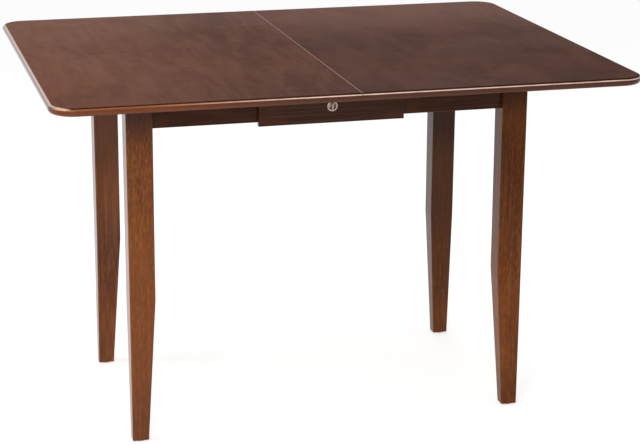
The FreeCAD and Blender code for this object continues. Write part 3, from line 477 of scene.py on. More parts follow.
def rim_stain_and_painted_light(tree, colour, masks, figure):
    """Paints the bands of the top's edge over a colour."""
    band_with_painted_falloff = blend_colour(tree, masks["to_right"], *RIM_STAIN_AND_PAINTED_FALLOFF)
    band_with_painted_falloff = blend_colour(tree, remap(tree, figure["Streaks"], *RIM_STREAKS), band_with_painted_falloff, HOLLOW_SHADE_AND_STREAK)
    crest_highlight = blend_colour(tree, masks["to_right"], *CREST_HIGHLIGHTS)
    # Layers of the rim: its stain with a painted falloff of light, then painted shade and painted highlights.
    painted_light_layers = [
        ("upright", band_with_painted_falloff),
        ("under", HOLLOW_SHADE_AND_STREAK),
        ("hollow_shade_and_end_reflection", blend_colour(tree, masks["at_end"], HOLLOW_SHADE_AND_STREAK, END_REFLECTION)),
        ("crest_highlight", blend_colour(tree, masks["at_end"], crest_highlight, END_SHADE)),
        ("seam_highlight", SEAM_HIGHLIGHT_COLOUR),
        ("corner", CORNER_HIGHLIGHT),
    ]
    for mask, stain in painted_light_layers:
        colour = blend_colour(tree, masks[mask], colour, stain)
    return colour


print("stains of the rim ready")

# %% [markdown]
# ## Stained wood
# The whole table is one light, fine-pored hardwood, stained red-brown and lacquered. What differs
# from board to board is the direction of the grain, how deep the stain went and how glossy the
# lacquer is. One function builds the finish from those choices. A list of fades paints light and
# shade into the colour along an axis, by blending in or adding other colours.
#
# Noise stays close to 0.5, so each range below says from where to where it counts. A coat of gloss
# lacquer covers the rim of the top alone: it is the shader's own coat, with a mask for its weight.

# %% Stained wood finish
GRAIN_TURN = {"X": (0, 0, 0), "Y": (0, 0, math.pi / 2), "Z": (0, math.pi / 2, 0)}
CLOUD_RANGE = (0.36, 0.64)
PATCH_RANGE = (0.50, 0.74)
STREAK_RANGE = (0.40, 0.70)
DARK_FLECKS = (0.62, 0.38)
PALE_FLECKS = (0.48, 0.68)
PORE_SHARE = 0.45
PORE_SHADE = 0.3
STREAK_RELIEF = 0.25
RIM_GLOSS = 0.12
RIM_REFRACTION = 1.3


def stained_wood(name, grain, seed, deep, ground, light, red, gloss=0.16, haze=0.10, refraction=1.33,
                 edge=None, edge_share=0.55, edge_radius=0.0012, rim=False,
                 ring_spacing=0.012, ring_share=0.35, streak_share=0.55, patch_share=0.75,
                 fleck_share=0.0, blotches=3.2, stretch=2.8, painted_light_fades=()):
    """A stained, lacquered board whose grain runs along X, Y or Z. With rim, its rim is painted.

    Each fade paints light and shade along an axis: it blends in or adds a colour from a start to an end, up
    to a share.
    """
    material, tree, shader = new_material(name)
    place = object_place(tree)
    parts = add(tree, "ShaderNodeSeparateXYZ", {0: place}).outputs
    turned = add(tree, "ShaderNodeMapping", {"Vector": place, "Rotation": GRAIN_TURN[grain]}).outputs[0]
    choices = {"Vector": turned, "Seed": seed, "Ring Spacing": ring_spacing,
               "Blotches": blotches, "Stretch": stretch}
    figure = use_group(tree, WOOD_FIGURE, choices)
    worn = use_group(tree, BROKEN_EDGES, {"Radius": edge_radius, "Vector": place})
    skin = use_group(tree, LACQUER_SKIN, {"Vector": place, "Gloss": gloss, "Haze": haze})

    def stain(under, mask, limits, share, tone):
        return blend_colour(tree, remap(tree, figure[mask], *limits, 0.0, share), under, tone)

    colour = stain(deep, "Clouds", CLOUD_RANGE, 1.0, ground)
    colour = stain(colour, "Patches", PATCH_RANGE, patch_share, red)
    colour = stain(colour, "Streaks", STREAK_RANGE, streak_share, light)
    if fleck_share:
        colour = stain(colour, "Flecks", DARK_FLECKS, fleck_share, deep)
        colour = stain(colour, "Flecks", PALE_FLECKS, fleck_share, light)
    # Fades of painted light and shade along an axis.
    for axis, start, end, way, share, tone in painted_light_fades:
        colour = blend_colour(tree, remap(tree, parts[axis], start, end, 0.0, share), colour, tone, way)
    if rim:
        # The rim gets painted highlights, reflection and shade, and a gloss coat.
        masks = rim_masks(tree, parts, figure)
        colour = rim_stain_and_painted_light(tree, colour, masks, figure)
        feed(tree, shader, {"Coat Weight": masks["coat"], "Coat Roughness": RIM_GLOSS,
                            "Coat IOR": RIM_REFRACTION})
    colour = blend_colour(tree, product(tree, figure["Rings"], ring_share), colour, deep)
    colour = blend_colour(tree, product(tree, figure["Pores"], PORE_SHARE), colour, shade(deep, PORE_SHADE))
    colour = blend_colour(tree, product(tree, worn["Mask"], edge_share), colour, edge or light)

    relief = maths(tree, "SUBTRACT", product(tree, figure["Streaks"], STREAK_RELIEF), figure["Pores"])
    sunken = bump(tree, relief, strength=0.12, distance=0.0002, Normal=worn["Normal"])
    swollen = bump(tree, skin["Swell"], strength=0.05, distance=0.0004, Normal=sunken)
    feed(tree, shader, {"Base Color": colour, "Roughness": skin["Roughness"], "IOR": refraction,
                        "Normal": swollen})
    return material


def finish(names, material):
    """Puts one material on the CAD pieces with these names."""
    for name in names:
        mesh = nodes[name].data
        mesh.materials.clear()
        mesh.materials.append(material)


print("stained wood ready, for grain along", *GRAIN_TURN)

# %% [markdown]
# ### The top
# The two halves are cut from different sheets. The left one is the lighter, with small clouds
# from dark brown to ochre that lie across the table, and the clouds of the right one are larger
# and calmer. Both have faint grain along the table. The lacquer on top is satin, so that it
# doesn't dazzle anyone who sits at it. The folded leaf was finished together with the left half.

# %% Top finish
DEEP_TOP = (0.02, 0.008, 0.006, 1)
TOP_TONES = {
    "left": dict(
        deep=srgb(76, 36, 20), ground=srgb(94, 54, 37), light=srgb(112, 64, 47), red=srgb(110, 64, 34),
        blotches=25.0, stretch=0.22,
        # Painted light: paler towards the left end, as if lit from the left, a painted pale reflection
        # towards the back, and darker towards the front.
        painted_light_fades=[("X", -0.08, -0.5, "ADD", 1.0, (0.068, 0.030, 0.019, 1)),
               ("Y", 0.1, 0.42, "ADD", 1.0, (0.035, 0.024, 0.018, 1)),
               ("Y", -0.16, -0.42, "MIX", 0.24, DEEP_TOP)]),
    "right": dict(
        deep=srgb(68, 31, 16), ground=srgb(84, 46, 34), light=srgb(96, 54, 39), red=srgb(93, 46, 27),
        blotches=12.0, stretch=0.4,
        # Painted pale reflection towards the back, and darker towards the front.
        painted_light_fades=[("Y", 0.02, 0.42, "ADD", 1.0, (0.085, 0.043, 0.031, 1)),
               ("Y", -0.3, -0.44, "MIX", 0.16, DEEP_TOP)]),
}
EDGE_STAIN = srgb(190, 120, 70)
TOP_FINISH = dict(gloss=0.2, haze=0.08, refraction=1.025, edge=EDGE_STAIN, edge_share=0.35, rim=True,
                  ring_share=0.14, streak_share=0.4, patch_share=0.5)
for seed, (side, tones) in enumerate(TOP_TONES.items(), start=3):
    lacquer = stained_wood(side + "_top_lacquer", "X", seed, **tones, **TOP_FINISH)
    finish([side + "_top_panel"], lacquer)
leaf_lacquer = stained_wood("leaf_lacquer", "X", 9, **TOP_TONES["left"], **TOP_FINISH)
finish(["leaf_lower_panel", "leaf_upper_panel"], leaf_lacquer)
print("top finished:", len(TOP_TONES), "halves and the leaf")

# %% [markdown]
# ### Legs
# The legs are solid wood. They show straight grain from floor to apron, warmer and more orange
# than the top, because their lacquer is thinner over a lighter stain. Short flecks break up the
# grain, most of all on the front left leg. Along its height each leg has painted light and shade:
# painted shade darkens it towards the apron, where the top casts its shadow, painted light makes
# parts of three legs paler, and the front legs get a painted cool reflection low down and are
# darker near the floor. The amounts differ from leg to leg.

# %% Leg finish
LEG_TONES = dict(deep=srgb(98, 45, 6), ground=srgb(141, 77, 18), light=srgb(172, 104, 46),
                 red=srgb(137, 63, 12))
LEG_FINISH = dict(gloss=0.12, haze=0.06, edge=EDGE_STAIN, edge_share=0.4, ring_spacing=0.009,
                  ring_share=0.3)
# Colours of the painted shade, painted light and painted cool reflection on the legs.
PAINTED_LEG_SHADE = srgb(30, 10, 2)
PAINTED_LEG_LIGHT = srgb(178, 98, 24)
PAINTED_LEG_REFLECTION = (0.0, 0.004, 0.010, 1)
LEGS = {
    "front_left_leg": dict(
        refraction=1.30, fleck_share=0.55,
        painted_light_fades=[("Z", 0.59, 0.73, "MIX", 0.88, PAINTED_LEG_SHADE), ("Z", 0.6, 0.36, "MIX", 0.36, PAINTED_LEG_LIGHT),
               ("Z", 0.16, 0.02, "MIX", 0.3, PAINTED_LEG_SHADE), ("Z", 0.35, 0.1, "ADD", 0.6, PAINTED_LEG_REFLECTION)]),
    "front_right_leg": dict(
        refraction=1.20, fleck_share=0.4,
        painted_light_fades=[("Z", 0.3, 0.54, "MIX", 0.38, PAINTED_LEG_SHADE), ("Z", 0.61, 0.75, "MIX", 0.8, PAINTED_LEG_SHADE),
               ("Z", 0.35, 0.2, "MIX", 0.2, PAINTED_LEG_LIGHT), ("Z", 0.14, 0.02, "MIX", 0.16, PAINTED_LEG_SHADE),
               ("Z", 0.65, 0.1, "ADD", 1.0, PAINTED_LEG_REFLECTION)]),
    "rear_left_leg": dict(
        refraction=1.34, fleck_share=0.2,
        painted_light_fades=[("Z", 0.28, 0.4, "MIX", 0.22, PAINTED_LEG_LIGHT), ("Z", 0.41, 0.54, "MIX", 0.5, PAINTED_LEG_SHADE),
               ("Z", 0.3, 0.05, "MIX", 0.2, PAINTED_LEG_LIGHT)]),
    "rear_right_leg": dict(
        refraction=1.26, fleck_share=0.25,
        painted_light_fades=[("Z", -0.1, 0.36, "MIX", 0.6, PAINTED_LEG_SHADE), ("Z", 0.42, 0.52, "MIX", 0.5, PAINTED_LEG_SHADE)]),
}
for seed, (leg, choices) in enumerate(LEGS.items(), start=21):
    finish([leg], stained_wood(leg + "_lacquer", "Z", seed, **LEG_TONES, **LEG_FINISH, **choices))
print("legs finished:", len(LEGS))

# %% [markdown]
# ### Aprons, covers, end rails and battens
# These boards hang in the shade of the top and were stained a good deal darker than the legs. On
# the long sides the grain runs along the table, and on the short sides across it, because a board
# is always cut with its grain along its length. Each board gets its own seed, and the cover in the
# middle of the apron a slightly glossier lacquer, as a part that was sprayed alone.

# %% Apron and cover finish
APRON_TONES = dict(deep=srgb(60, 27, 5), ground=srgb(88, 47, 19), light=srgb(104, 64, 36),
                   red=srgb(90, 41, 15))
APRON_FINISH = dict(gloss=0.2, haze=0.08, edge=EDGE_STAIN, edge_share=0.3, ring_share=0.3)
APRON_REFRACTION = 1.22
COVER_REFRACTION = 1.26
BOARDS = {
    "front_apron": ("X", APRON_REFRACTION),
    "rear_apron": ("X", APRON_REFRACTION),
    "front_cover": ("X", COVER_REFRACTION),
    "rear_cover": ("X", COVER_REFRACTION),
    "left_end_rail": ("Y", APRON_REFRACTION),
    "right_end_rail": ("Y", APRON_REFRACTION),
    "left_batten": ("Y", APRON_REFRACTION),
    "right_batten": ("Y", APRON_REFRACTION),
}
for seed, (board, (grain, refraction)) in enumerate(BOARDS.items(), start=31):
    lacquer = stained_wood(board + "_lacquer", grain, seed, **APRON_TONES, **APRON_FINISH,
                           refraction=refraction)
    finish([board], lacquer)
print("boards finished:", len(BOARDS))

# %% [markdown]
# ### Hidden wood
# The boards that a buyer never sees are the same wood without stain, only sealed: pale, warm and
# dull, with the saw's fuzz still on it. The same function makes it, from other colours and with
# more roughness, so that the hidden boards still look like the same kind of wood.

# %% Plain wood finish
PLAIN_TONES = dict(deep=srgb(150, 112, 70), ground=srgb(184, 144, 98), light=srgb(206, 170, 124),
                   red=srgb(186, 134, 88))
PLAIN_FINISH = dict(gloss=0.5, haze=0.2, refraction=1.3, ring_spacing=0.008)
PLAIN_BOARDS = {
    "X": ["left_front_runner", "left_rear_runner", "right_front_runner", "right_rear_runner",
          "left_travel_stops", "right_travel_stops", "seam_pins", "leaf_pins", "corner_blocks"],
    "Y": ["left_cross_rail", "right_cross_rail", "front_gear_board", "rear_gear_board"],
}
plain_boards = [(board, grain) for grain, boards in PLAIN_BOARDS.items() for board in boards]
for seed, (board, grain) in enumerate(plain_boards, start=41):
    finish([board], stained_wood(board + "_wood", grain, seed, **PLAIN_TONES, **PLAIN_FINISH))
print("plain boards finished:", len(plain_boards))

# %% [markdown]
# ## Metal
# Zinc plate is grey with a faint yellow or blue bloom in patches. The nickel of the thumb-turn is
# brushed and then handled, so it has a haze. Brass is satin with darker patches. All three are one
# graph: two colours in soft patches, scratches too fine to be seen singly, which make the
# roughness uneven, and edges that are a little brighter because they are rubbed.

# %% Metal finish
BLOOM_SCALE = 130.0
BLOOM_RANGE = (0.35, 0.65)
SCRATCH_SCALE = 2400.0
METAL_EDGE = 0.0003
RUBBED_SHARE = 0.4
RUBBED_SHADE = 1.2


def plated_metal(name, colour, bloom, roughness, spread, metallic=1.0):
    """A plated metal: two colours in soft patches, with uneven roughness and fine scratches."""
    material, tree, shader = new_material(name)
    place = object_place(tree)
    patches = noise(tree, place, BLOOM_SCALE, detail=3.0)
    scratches = noise(tree, place, SCRATCH_SCALE, detail=2.0)
    worn = use_group(tree, BROKEN_EDGES, {"Radius": METAL_EDGE, "Vector": place})
    tint = blend_colour(tree, remap(tree, patches, *BLOOM_RANGE), colour, bloom)
    rubbed = product(tree, worn["Mask"], RUBBED_SHARE)
    feed(tree, shader, {
        "Base Color": blend_colour(tree, rubbed, tint, shade(colour, RUBBED_SHADE)),
        "Roughness": maths(tree, "MULTIPLY_ADD", scratches, spread, roughness),
        "Normal": bump(tree, scratches, strength=0.04, distance=0.00005, Normal=worn["Normal"]),
        "Metallic": metallic,
    })
    return material


ZINC = plated_metal("zinc_plate", srgb(176, 176, 172), srgb(186, 180, 160), 0.3, 0.15)
BRASS = plated_metal("satin_brass", srgb(205, 165, 92), srgb(176, 134, 70), 0.32, 0.12)
NICKEL = plated_metal("brushed_nickel", srgb(196, 178, 170), srgb(180, 160, 150), 0.3, 0.12, 0.7)
finish([n for n in nodes if n.endswith("screws")], ZINC)
finish(["hanger_bolts", "bolt_washers", "bolt_nuts", "pinion_spindles", "spindle_clips", "clamp_screw"], ZINC)
finish(["leaf_hinge_plates", "leaf_hinge_links", "leaf_hinge_pins", "clamp_sleeve"], BRASS)
finish(["clamp_bezel", "thumb_knob"], NICKEL)
print("metals finished:", ZINC.name, BRASS.name, NICKEL.name)

# %% [markdown]
# ## Nylon
# The racks, the pinions, the pad of the clamp and the glides are moulded nylon, which slides well
# without grease. It is milky, with faint clouds where it cooled unevenly, and its skin is matt. At
# this thickness it lets hardly any light through, so the finish does without translucency.

# %% Nylon finish
NYLON_CLOUD_SCALE = 60.0
NYLON_CLOUD_RANGE = (0.3, 0.7)
NYLON_SKIN_SCALE = 1800.0
NYLON_SKIN_RANGE = (0.2, 0.8)
NYLON_ROUGHNESS = (0.42, 0.6)
NYLON_EDGE = 0.0004
NYLON_SHADE = 0.86


def milky_nylon(name, colour):
    """A moulded nylon: milky, with a fine matt skin."""
    material, tree, shader = new_material(name)
    place = object_place(tree)
    cloud = noise(tree, place, NYLON_CLOUD_SCALE, detail=2.0)
    skin = noise(tree, place, NYLON_SKIN_SCALE, detail=2.0)
    worn = use_group(tree, BROKEN_EDGES, {"Radius": NYLON_EDGE, "Vector": place})
    cloudy = remap(tree, cloud, *NYLON_CLOUD_RANGE)
    feed(tree, shader, {
        "Base Color": blend_colour(tree, cloudy, colour, shade(colour, NYLON_SHADE)),
        "Roughness": remap(tree, skin, *NYLON_SKIN_RANGE, *NYLON_ROUGHNESS),
        "Normal": bump(tree, skin, strength=0.1, distance=0.00005, Normal=worn["Normal"]),
    })
    return material


NYLON = milky_nylon("milky_nylon", srgb(214, 210, 196))
gear_pieces = [n for n in nodes if n.endswith("rack") or n.endswith("pinion")]
finish(gear_pieces + ["foot_glides", "pressure_pad"], NYLON)
print("nylon finished:", len(gear_pieces), "racks and pinions")

# %% [markdown]
# ## Felt
# The leaf rests on strips of green felt, and felt bumpers keep its two panels apart. Felt is a mat
# of short fibres. Real fibres would be far too many to model for strips this small, so noise
# gives both their paler specks and their fuzz, and a little sheen gives the soft light on them.

# %% Felt finish
FIBRE_SCALE = 900.0
FIBRE_RANGE = (0.4, 0.7)
FELT_ROUGHNESS = 0.95
FELT_SHEEN = 0.3


def pressed_felt(name, colour, pale):
    """A pressed felt: specks of paler fibre on a deep ground, rough all over."""
    material, tree, shader = new_material(name)
    fibres = noise(tree, object_place(tree), FIBRE_SCALE, detail=6.0, distortion=2.5)
    feed(tree, shader, {
        "Base Color": blend_colour(tree, remap(tree, fibres, *FIBRE_RANGE), colour, pale),
        "Normal": bump(tree, fibres, strength=0.6, distance=0.0003),
        "Roughness": FELT_ROUGHNESS,
        "Sheen Weight": FELT_SHEEN,
    })
    return material


FELT = pressed_felt("green_felt", srgb(58, 70, 52), srgb(96, 108, 84))
finish(["leaf_bumpers", "leaf_rest_pads"], FELT)
left_bare = [name for name, piece in nodes.items() if set(piece.data.materials.keys()) <= cad_materials]
print("felt finished; pieces without a finish:", left_bare)

# %% [markdown]
# ## Tools for modelling small parts
# The screws, bolts and the thumb-turn are modelled here as by hand: a primitive of the right size
# is the start, and edit-mode operators shape it. An operator works on what is selected, so each
# step first selects faces or edges by where they lie. A model is made once, pointing up at the
# origin, and copies of it are then set where the plain CAD solids are.

# %% Choosing faces and edges
SAME_HEIGHT = 1e-6
SAME_RADIUS = 2e-5
NEARLY_FLAT = 0.9


def in_edit_mode(piece, chosen=None, kind="FACE"):
    """Enters edit mode with only the chosen faces or edges selected, or everything."""
    bpy.ops.object.select_all(action="DESELECT")
    bpy.context.view_layer.objects.active = piece
    piece.select_set(True)
    bpy.ops.object.mode_set(mode="EDIT")
    bpy.ops.mesh.select_mode(type=kind)
    bpy.ops.mesh.select_all(action="DESELECT" if chosen else "SELECT")
    if chosen:
        shape = bmesh.from_edit_mesh(piece.data)
        for element in shape.faces if kind == "FACE" else shape.edges:
            if chosen(element):
                element.select_set(True)
        bmesh.update_edit_mesh(piece.data)


def object_mode():
    """Leaves edit mode."""
    bpy.ops.object.mode_set(mode="OBJECT")


def flat_at(height, direction=1):
    """Chooses the faces that lie at a height and face up, or down for direction -1."""
    def lies_there(face):
        at_height = abs(face.calc_center_median().z - height) < SAME_HEIGHT
        return face.normal.z * direction > NEARLY_FLAT and at_height
    return lies_there


def rim_at(height, radius):
    """Chooses the edges of a circle round the origin."""
    def on_circle(point):
        return abs(point.z - height) < SAME_HEIGHT and abs(point.xy.length - radius) < SAME_RADIUS

    def lies_there(edge):
        return all(on_circle(v.co) for v in edge.verts)
    return lies_there


print("faces and edges can be chosen")

# %% [markdown]
# Four more steps come back in every model: starting from a cylinder, pushing faces in or out,
# rounding an edge, and cutting one shape with another. Each is a helper, so that the models below
# read like a list of what a turner would do.

# %% Shaping
def disc(name, radius, height, sides=48, top=0.0):
    """Starts a piece as an upright cylinder whose upper face is at the height top."""
    bpy.ops.object.select_all(action="DESELECT")
    centre = (0, 0, top - height / 2)
    bpy.ops.mesh.primitive_cylinder_add(vertices=sides, radius=radius, depth=height, location=centre)
    piece = bpy.context.object
    piece.name = name
    piece.data.name = name
    bpy.ops.object.transform_apply(location=True, rotation=True, scale=True)
    return piece


def draw_out(distance):
    """Extrudes the selected faces or edges upwards, or downwards for a negative distance."""
    bpy.ops.mesh.extrude_region_move(TRANSFORM_OT_translate={"value": (0, 0, distance)})


def narrow(share):
    """Scales what is selected towards its middle, but not in height."""
    bpy.ops.transform.resize(value=(share, share, 1))


def round_rim(piece, height, radius, width, segments):
    """Rounds the circular edge at a height."""
    in_edit_mode(piece, rim_at(height, radius), "EDGE")
    bpy.ops.mesh.bevel(offset=width, segments=segments)
    object_mode()


def cut_away(piece, cutter, operation="DIFFERENCE"):
    """Cuts one modelled piece with another, which is used up."""
    bpy.context.view_layer.objects.active = piece
    cut = piece.modifiers.new("cut", "BOOLEAN")
    cut.operation = operation
    cut.object = cutter
    cut.solver = "EXACT"
    bpy.ops.object.modifier_apply(modifier=cut.name)
    bpy.data.objects.remove(cutter)


def smooth(piece, angle=35):
    """Shades a piece smooth, but for edges sharper than an angle in degrees."""
    bpy.ops.object.select_all(action="DESELECT")
    bpy.context.view_layer.objects.active = piece
    piece.select_set(True)
    bpy.ops.object.shade_smooth_by_angle(angle=math.radians(angle))


print("shaping helpers ready")

# %% [markdown]
# A CAD node such as the screws of one board is a single mesh that holds several solids. To know
# where each one is, a copy of the node is merged and separated into loose parts, and the corner
# points of each part are kept. The finished piece is then a copy of the model, turned and moved
# in its mesh, that rides on the body of its node and takes the node's place.


def centre_of_points(points):
    """The mean of some points, rounded so that solids can be put in a steady order."""
    return tuple(round(c, 4) for c in sum(points, Vector()) / len(points))


def solids_of(node):
    """The separate solids of a CAD node, each as the list of its corner points."""
    copy = nodes[node].copy()
    copy.data = nodes[node].data.copy()
    copy.parent = None
    bpy.context.scene.collection.objects.link(copy)
    in_edit_mode(copy)
    bpy.ops.mesh.remove_doubles(threshold=SAME_HEIGHT)
    bpy.ops.mesh.separate(type="LOOSE")
    object_mode()
    parts = [copy] + [o for o in bpy.context.selected_objects if o is not copy]
    clouds = [[v.co.copy() for v in part.data.vertices] for part in parts]
    for part in parts:
        bpy.data.objects.remove(part)
    return sorted(clouds, key=centre_of_points)


def middle_of(points):
    """The middle and the size of the box round some points."""
    low = Vector(min(p[i] for p in points) for i in range(3))
    high = Vector(max(p[i] for p in points) for i in range(3))
    return (low + high) / 2, high - low


def set_copy(model, name, place, direction, node, material):
    """Sets a copy of a model, made pointing up at the origin, at a place, pointing in a direction."""
    mesh = model.data.copy()
    turn = Vector(direction).to_track_quat("Z", "X").to_matrix().to_4x4()
    mesh.transform(Matrix.Translation(place) @ turn)
    piece = bpy.data.objects.new(name, mesh)
    mesh.name = name
    mesh.materials.clear()
    mesh.materials.append(material)
    bpy.context.scene.collection.objects.link(piece)
    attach(piece, nodes[node]["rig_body"])
    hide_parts(node)
    return piece


# %% [markdown]
# ### Screws
# A countersunk wood screw has a flat head that narrows to the shank at 45 degrees, a cross recess
# that tapers inwards, and a point. It starts as a short cylinder: its lower face is shrunk to make
# the cone and drawn out twice for the shank and the point. Two crossed wedges cut the recess.

# %% Cross-head screw
# Shares of the head's radius: the blades of the recess, the shank and the rounding of the head.
RECESS_SIZE = Vector((1.05, 0.24, 0.9))
SHANK_SHARE = 0.5
HEAD_ROUNDING = 0.06
# How far the recess narrows to its bottom, and the shank to its point.
RECESS_TAPER = 0.3
POINT_TAPER = 0.12


def recess_cutter(radius):
    """Two tapered blades that cross, pointing down from a head of this radius."""
    blades = []
    for turn in (0, math.pi / 2):
        bpy.ops.object.select_all(action="DESELECT")
        bpy.ops.mesh.primitive_cube_add(size=1, rotation=(0, 0, turn))
        blade = bpy.context.object
        blade.scale = radius * RECESS_SIZE
        bpy.ops.object.transform_apply(location=True, rotation=True, scale=True)
        in_edit_mode(blade, lambda face: face.normal.z < -NEARLY_FLAT)
        narrow(RECESS_TAPER)
        object_mode()
        blades.append(blade)
    cut_away(blades[0], blades[1], "UNION")
    return blades[0]


def cross_head_screw(radius, length):
    """Screw with its head's face at the origin, pointing down, its point as long as its head's radius."""
    cone = radius * (1 - SHANK_SHARE)
    shank = length - cone - radius
    screw = disc("screw", radius, cone, sides=32)
    in_edit_mode(screw, flat_at(-cone, -1))
    narrow(SHANK_SHARE)
    draw_out(-shank)
    draw_out(-radius)
    narrow(POINT_TAPER)
    object_mode()
    round_rim(screw, 0, radius, width=HEAD_ROUNDING * radius, segments=2)
    cut_away(screw, recess_cutter(radius))
    smooth(screw)
    return screw


print("screw model ready")

# %% [markdown]
# The CAD screws point in many directions. The longest side of a screw's box is its axis, and of
# the two ends the wider one is the head. Screws of one size share one model.

# %% Setting the screws
END_REACH = 1e-5
SCREW_NODES = ["cover_screws", "gear_board_screws", "spindle_screws",
               "left_short_screws", "left_runner_screws", "left_rack_screws",
               "right_short_screws", "right_runner_screws", "right_rack_screws"]


def axis_of(points):
    """The head's centre, the direction from it along the shank, the length and the head's radius."""
    middle, extent = middle_of(points)
    longest = max(range(3), key=lambda i: extent[i])
    along = Vector([float(i == longest) for i in range(3)])
    ends = []
    for sign in (-1, 1):
        end = middle + along * sign * extent[longest] / 2
        radius = max((p - end).length for p in points if abs((p - end).dot(along)) < END_REACH)
        ends.append((radius, end, -sign * along))
    radius, head, inward = max(ends, key=lambda found: found[0])
    return head, inward, extent[longest], radius


screw_models = {}
screw_count = 0
for node in SCREW_NODES:
    for number, points in enumerate(solids_of(node), start=1):
        head, inward, length, radius = axis_of(points)
        kind = (round(radius, 4), round(length, 4))
        if kind not in screw_models:
            screw_models[kind] = cross_head_screw(*kind)
        set_copy(screw_models[kind], f"{node[:-1]}_{number}", head, -inward, node, ZINC)
        screw_count += 1
for model in screw_models.values():
    bpy.data.objects.remove(model)
print("screws:", screw_count, "in", len(screw_models), "sizes")

# %% [markdown]
# ### Corner bolts
# Each leg is drawn against its corner block by a hanger bolt, a washer and a nut. The thread on
# the bolt could be a true screw line, but at this size its slope can't be told from a ring. So it
# is made of fine rings: the top edge is drawn up by half a pitch and narrowed or widened in turn.

# %% Threaded rod
# Share of the pitch.
THREAD_DEPTH = 0.55


def threaded_rod(name, radius, length, pitch, threaded):
    """Rod from the origin down, whose upper part has a thread."""
    rod = disc(name, radius, length, sides=32)
    in_edit_mode(rod, flat_at(0))
    bpy.ops.mesh.delete(type="FACE")
    object_mode()
    in_edit_mode(rod, rim_at(0, radius), "EDGE")
    bpy.ops.transform.translate(value=(0, 0, -threaded))
    inner = (radius - THREAD_DEPTH * pitch) / radius
    for step in range(int(2 * threaded / pitch)):
        draw_out(pitch / 2)
        ratio = inner if step % 2 == 0 else 1 / inner
        bpy.ops.transform.resize(value=(ratio, ratio, 1), center_override=(0, 0, 0))
    bpy.ops.mesh.edge_face_add()
    object_mode()
    smooth(rod, angle=25)
    return rod


print("threaded rod ready")

# %% [markdown]
# A nut is a six-sided cylinder. Its upper corners are turned off at a slant, so its shape is what
# it shares with a chamfered disc that is a touch wider than the corners. A washer is a disc whose
# two faces are inset to the size of the bore, and a bridge between the insets is the bore's wall.

# %% Nut and washer
# Shares of the nut's corner radius, its height and the washer's height.
NUT_CHAMFER = 0.12
SPARE_WIDTH = 0.002
SPARE_HEIGHT = 0.0005
WASHER_ROUNDING = 0.15


def hex_nut(width, height, bore):
    """Nut of a width across its flats, with its upper face at the origin."""
    corner = width / math.sqrt(3)
    wide = corner * (1 + SPARE_WIDTH)
    rise = height * SPARE_HEIGHT
    nut = disc("nut", corner, height, sides=6)
    rounding = disc("rounding", wide, height + 2 * rise, top=rise)
    round_rim(rounding, rise, wide, width=corner * NUT_CHAMFER, segments=1)
    cut_away(nut, rounding, "INTERSECT")
    cut_away(nut, disc("bore", bore, 3 * height, sides=32, top=height))
    smooth(nut, angle=25)
    return nut


def washer(radius, height, bore):
    """Washer with its upper face at the origin."""
    ring = disc("washer", radius, height)
    for level, direction in ((0, 1), (-height, -1)):
        in_edit_mode(ring, flat_at(level, direction))
        bpy.ops.mesh.inset(thickness=radius - bore)
        object_mode()
    # Only the two faces over the bore have more than four corners.
    in_edit_mode(ring, lambda face: len(face.verts) > 4)
    bpy.ops.mesh.bridge_edge_loops()
    object_mode()
    round_rim(ring, 0, radius, width=WASHER_ROUNDING * height, segments=2)
    smooth(ring)
    return ring


print("nut and washer ready")

# %% [markdown]
# The bolts lie level and point from the corners of the frame to its inside, at 45 degrees. Their
# length is taken from the CAD, as the long diagonal of a bolt without its thickness.

# %% Setting the corner bolts
MILLIMETRE = 0.001
BOLT_RADIUS = 4 * MILLIMETRE
BOLT_PITCH = 1.25 * MILLIMETRE
BOLT_THREAD = 20 * MILLIMETRE
NUT_WIDTH = 13 * MILLIMETRE
NUT_HEIGHT = 6.5 * MILLIMETRE
WASHER_RADIUS = 10 * MILLIMETRE
WASHER_HEIGHT = 1.6 * MILLIMETRE


def toward_centre(point):
    """Level direction from a corner of the frame to its inside, at 45 degrees."""
    return Vector((-math.copysign(1, point.x), -math.copysign(1, point.y), 0)).normalized()


bolt_points = solids_of("hanger_bolts")[0]
diagonal = max((a - b).length for a in bolt_points for b in bolt_points)
bolt_length = math.sqrt(diagonal ** 2 - (2 * BOLT_RADIUS) ** 2)
bolt_model = threaded_rod("bolt", BOLT_RADIUS, bolt_length, BOLT_PITCH, BOLT_THREAD)
nut_model = hex_nut(NUT_WIDTH, NUT_HEIGHT, BOLT_RADIUS)
washer_model = washer(WASHER_RADIUS, WASHER_HEIGHT, BOLT_RADIUS)
corner_fittings = [("hanger_bolts", bolt_model, bolt_length), ("bolt_nuts", nut_model, NUT_HEIGHT),
                   ("bolt_washers", washer_model, WASHER_HEIGHT)]
for node, model, height in corner_fittings:
    for number, points in enumerate(solids_of(node), start=1):
        middle, _ = middle_of(points)
        inside = toward_centre(middle)
        set_copy(model, f"{node[:-1]}_{number}", middle + inside * height / 2, inside, node, ZINC)
    bpy.data.objects.remove(model)
print("corner bolts:", round(bolt_length * 1000), "mm long")

# %% [markdown]
# ### Thumb-turn
# A nickel cup is let into the front cover, with a round knob in it that has an upright bar to
# grip. The cup starts as a disc as thick as its rim. The back face is inset by one wall and drawn
# out, and the front face is inset by two and pushed in, so that side and floor are one wall thick.

# %% Cup of the thumb-turn
# Shares of the rim's thickness.
OUTER_ROUNDING = 0.45
INNER_ROUNDING = 0.25


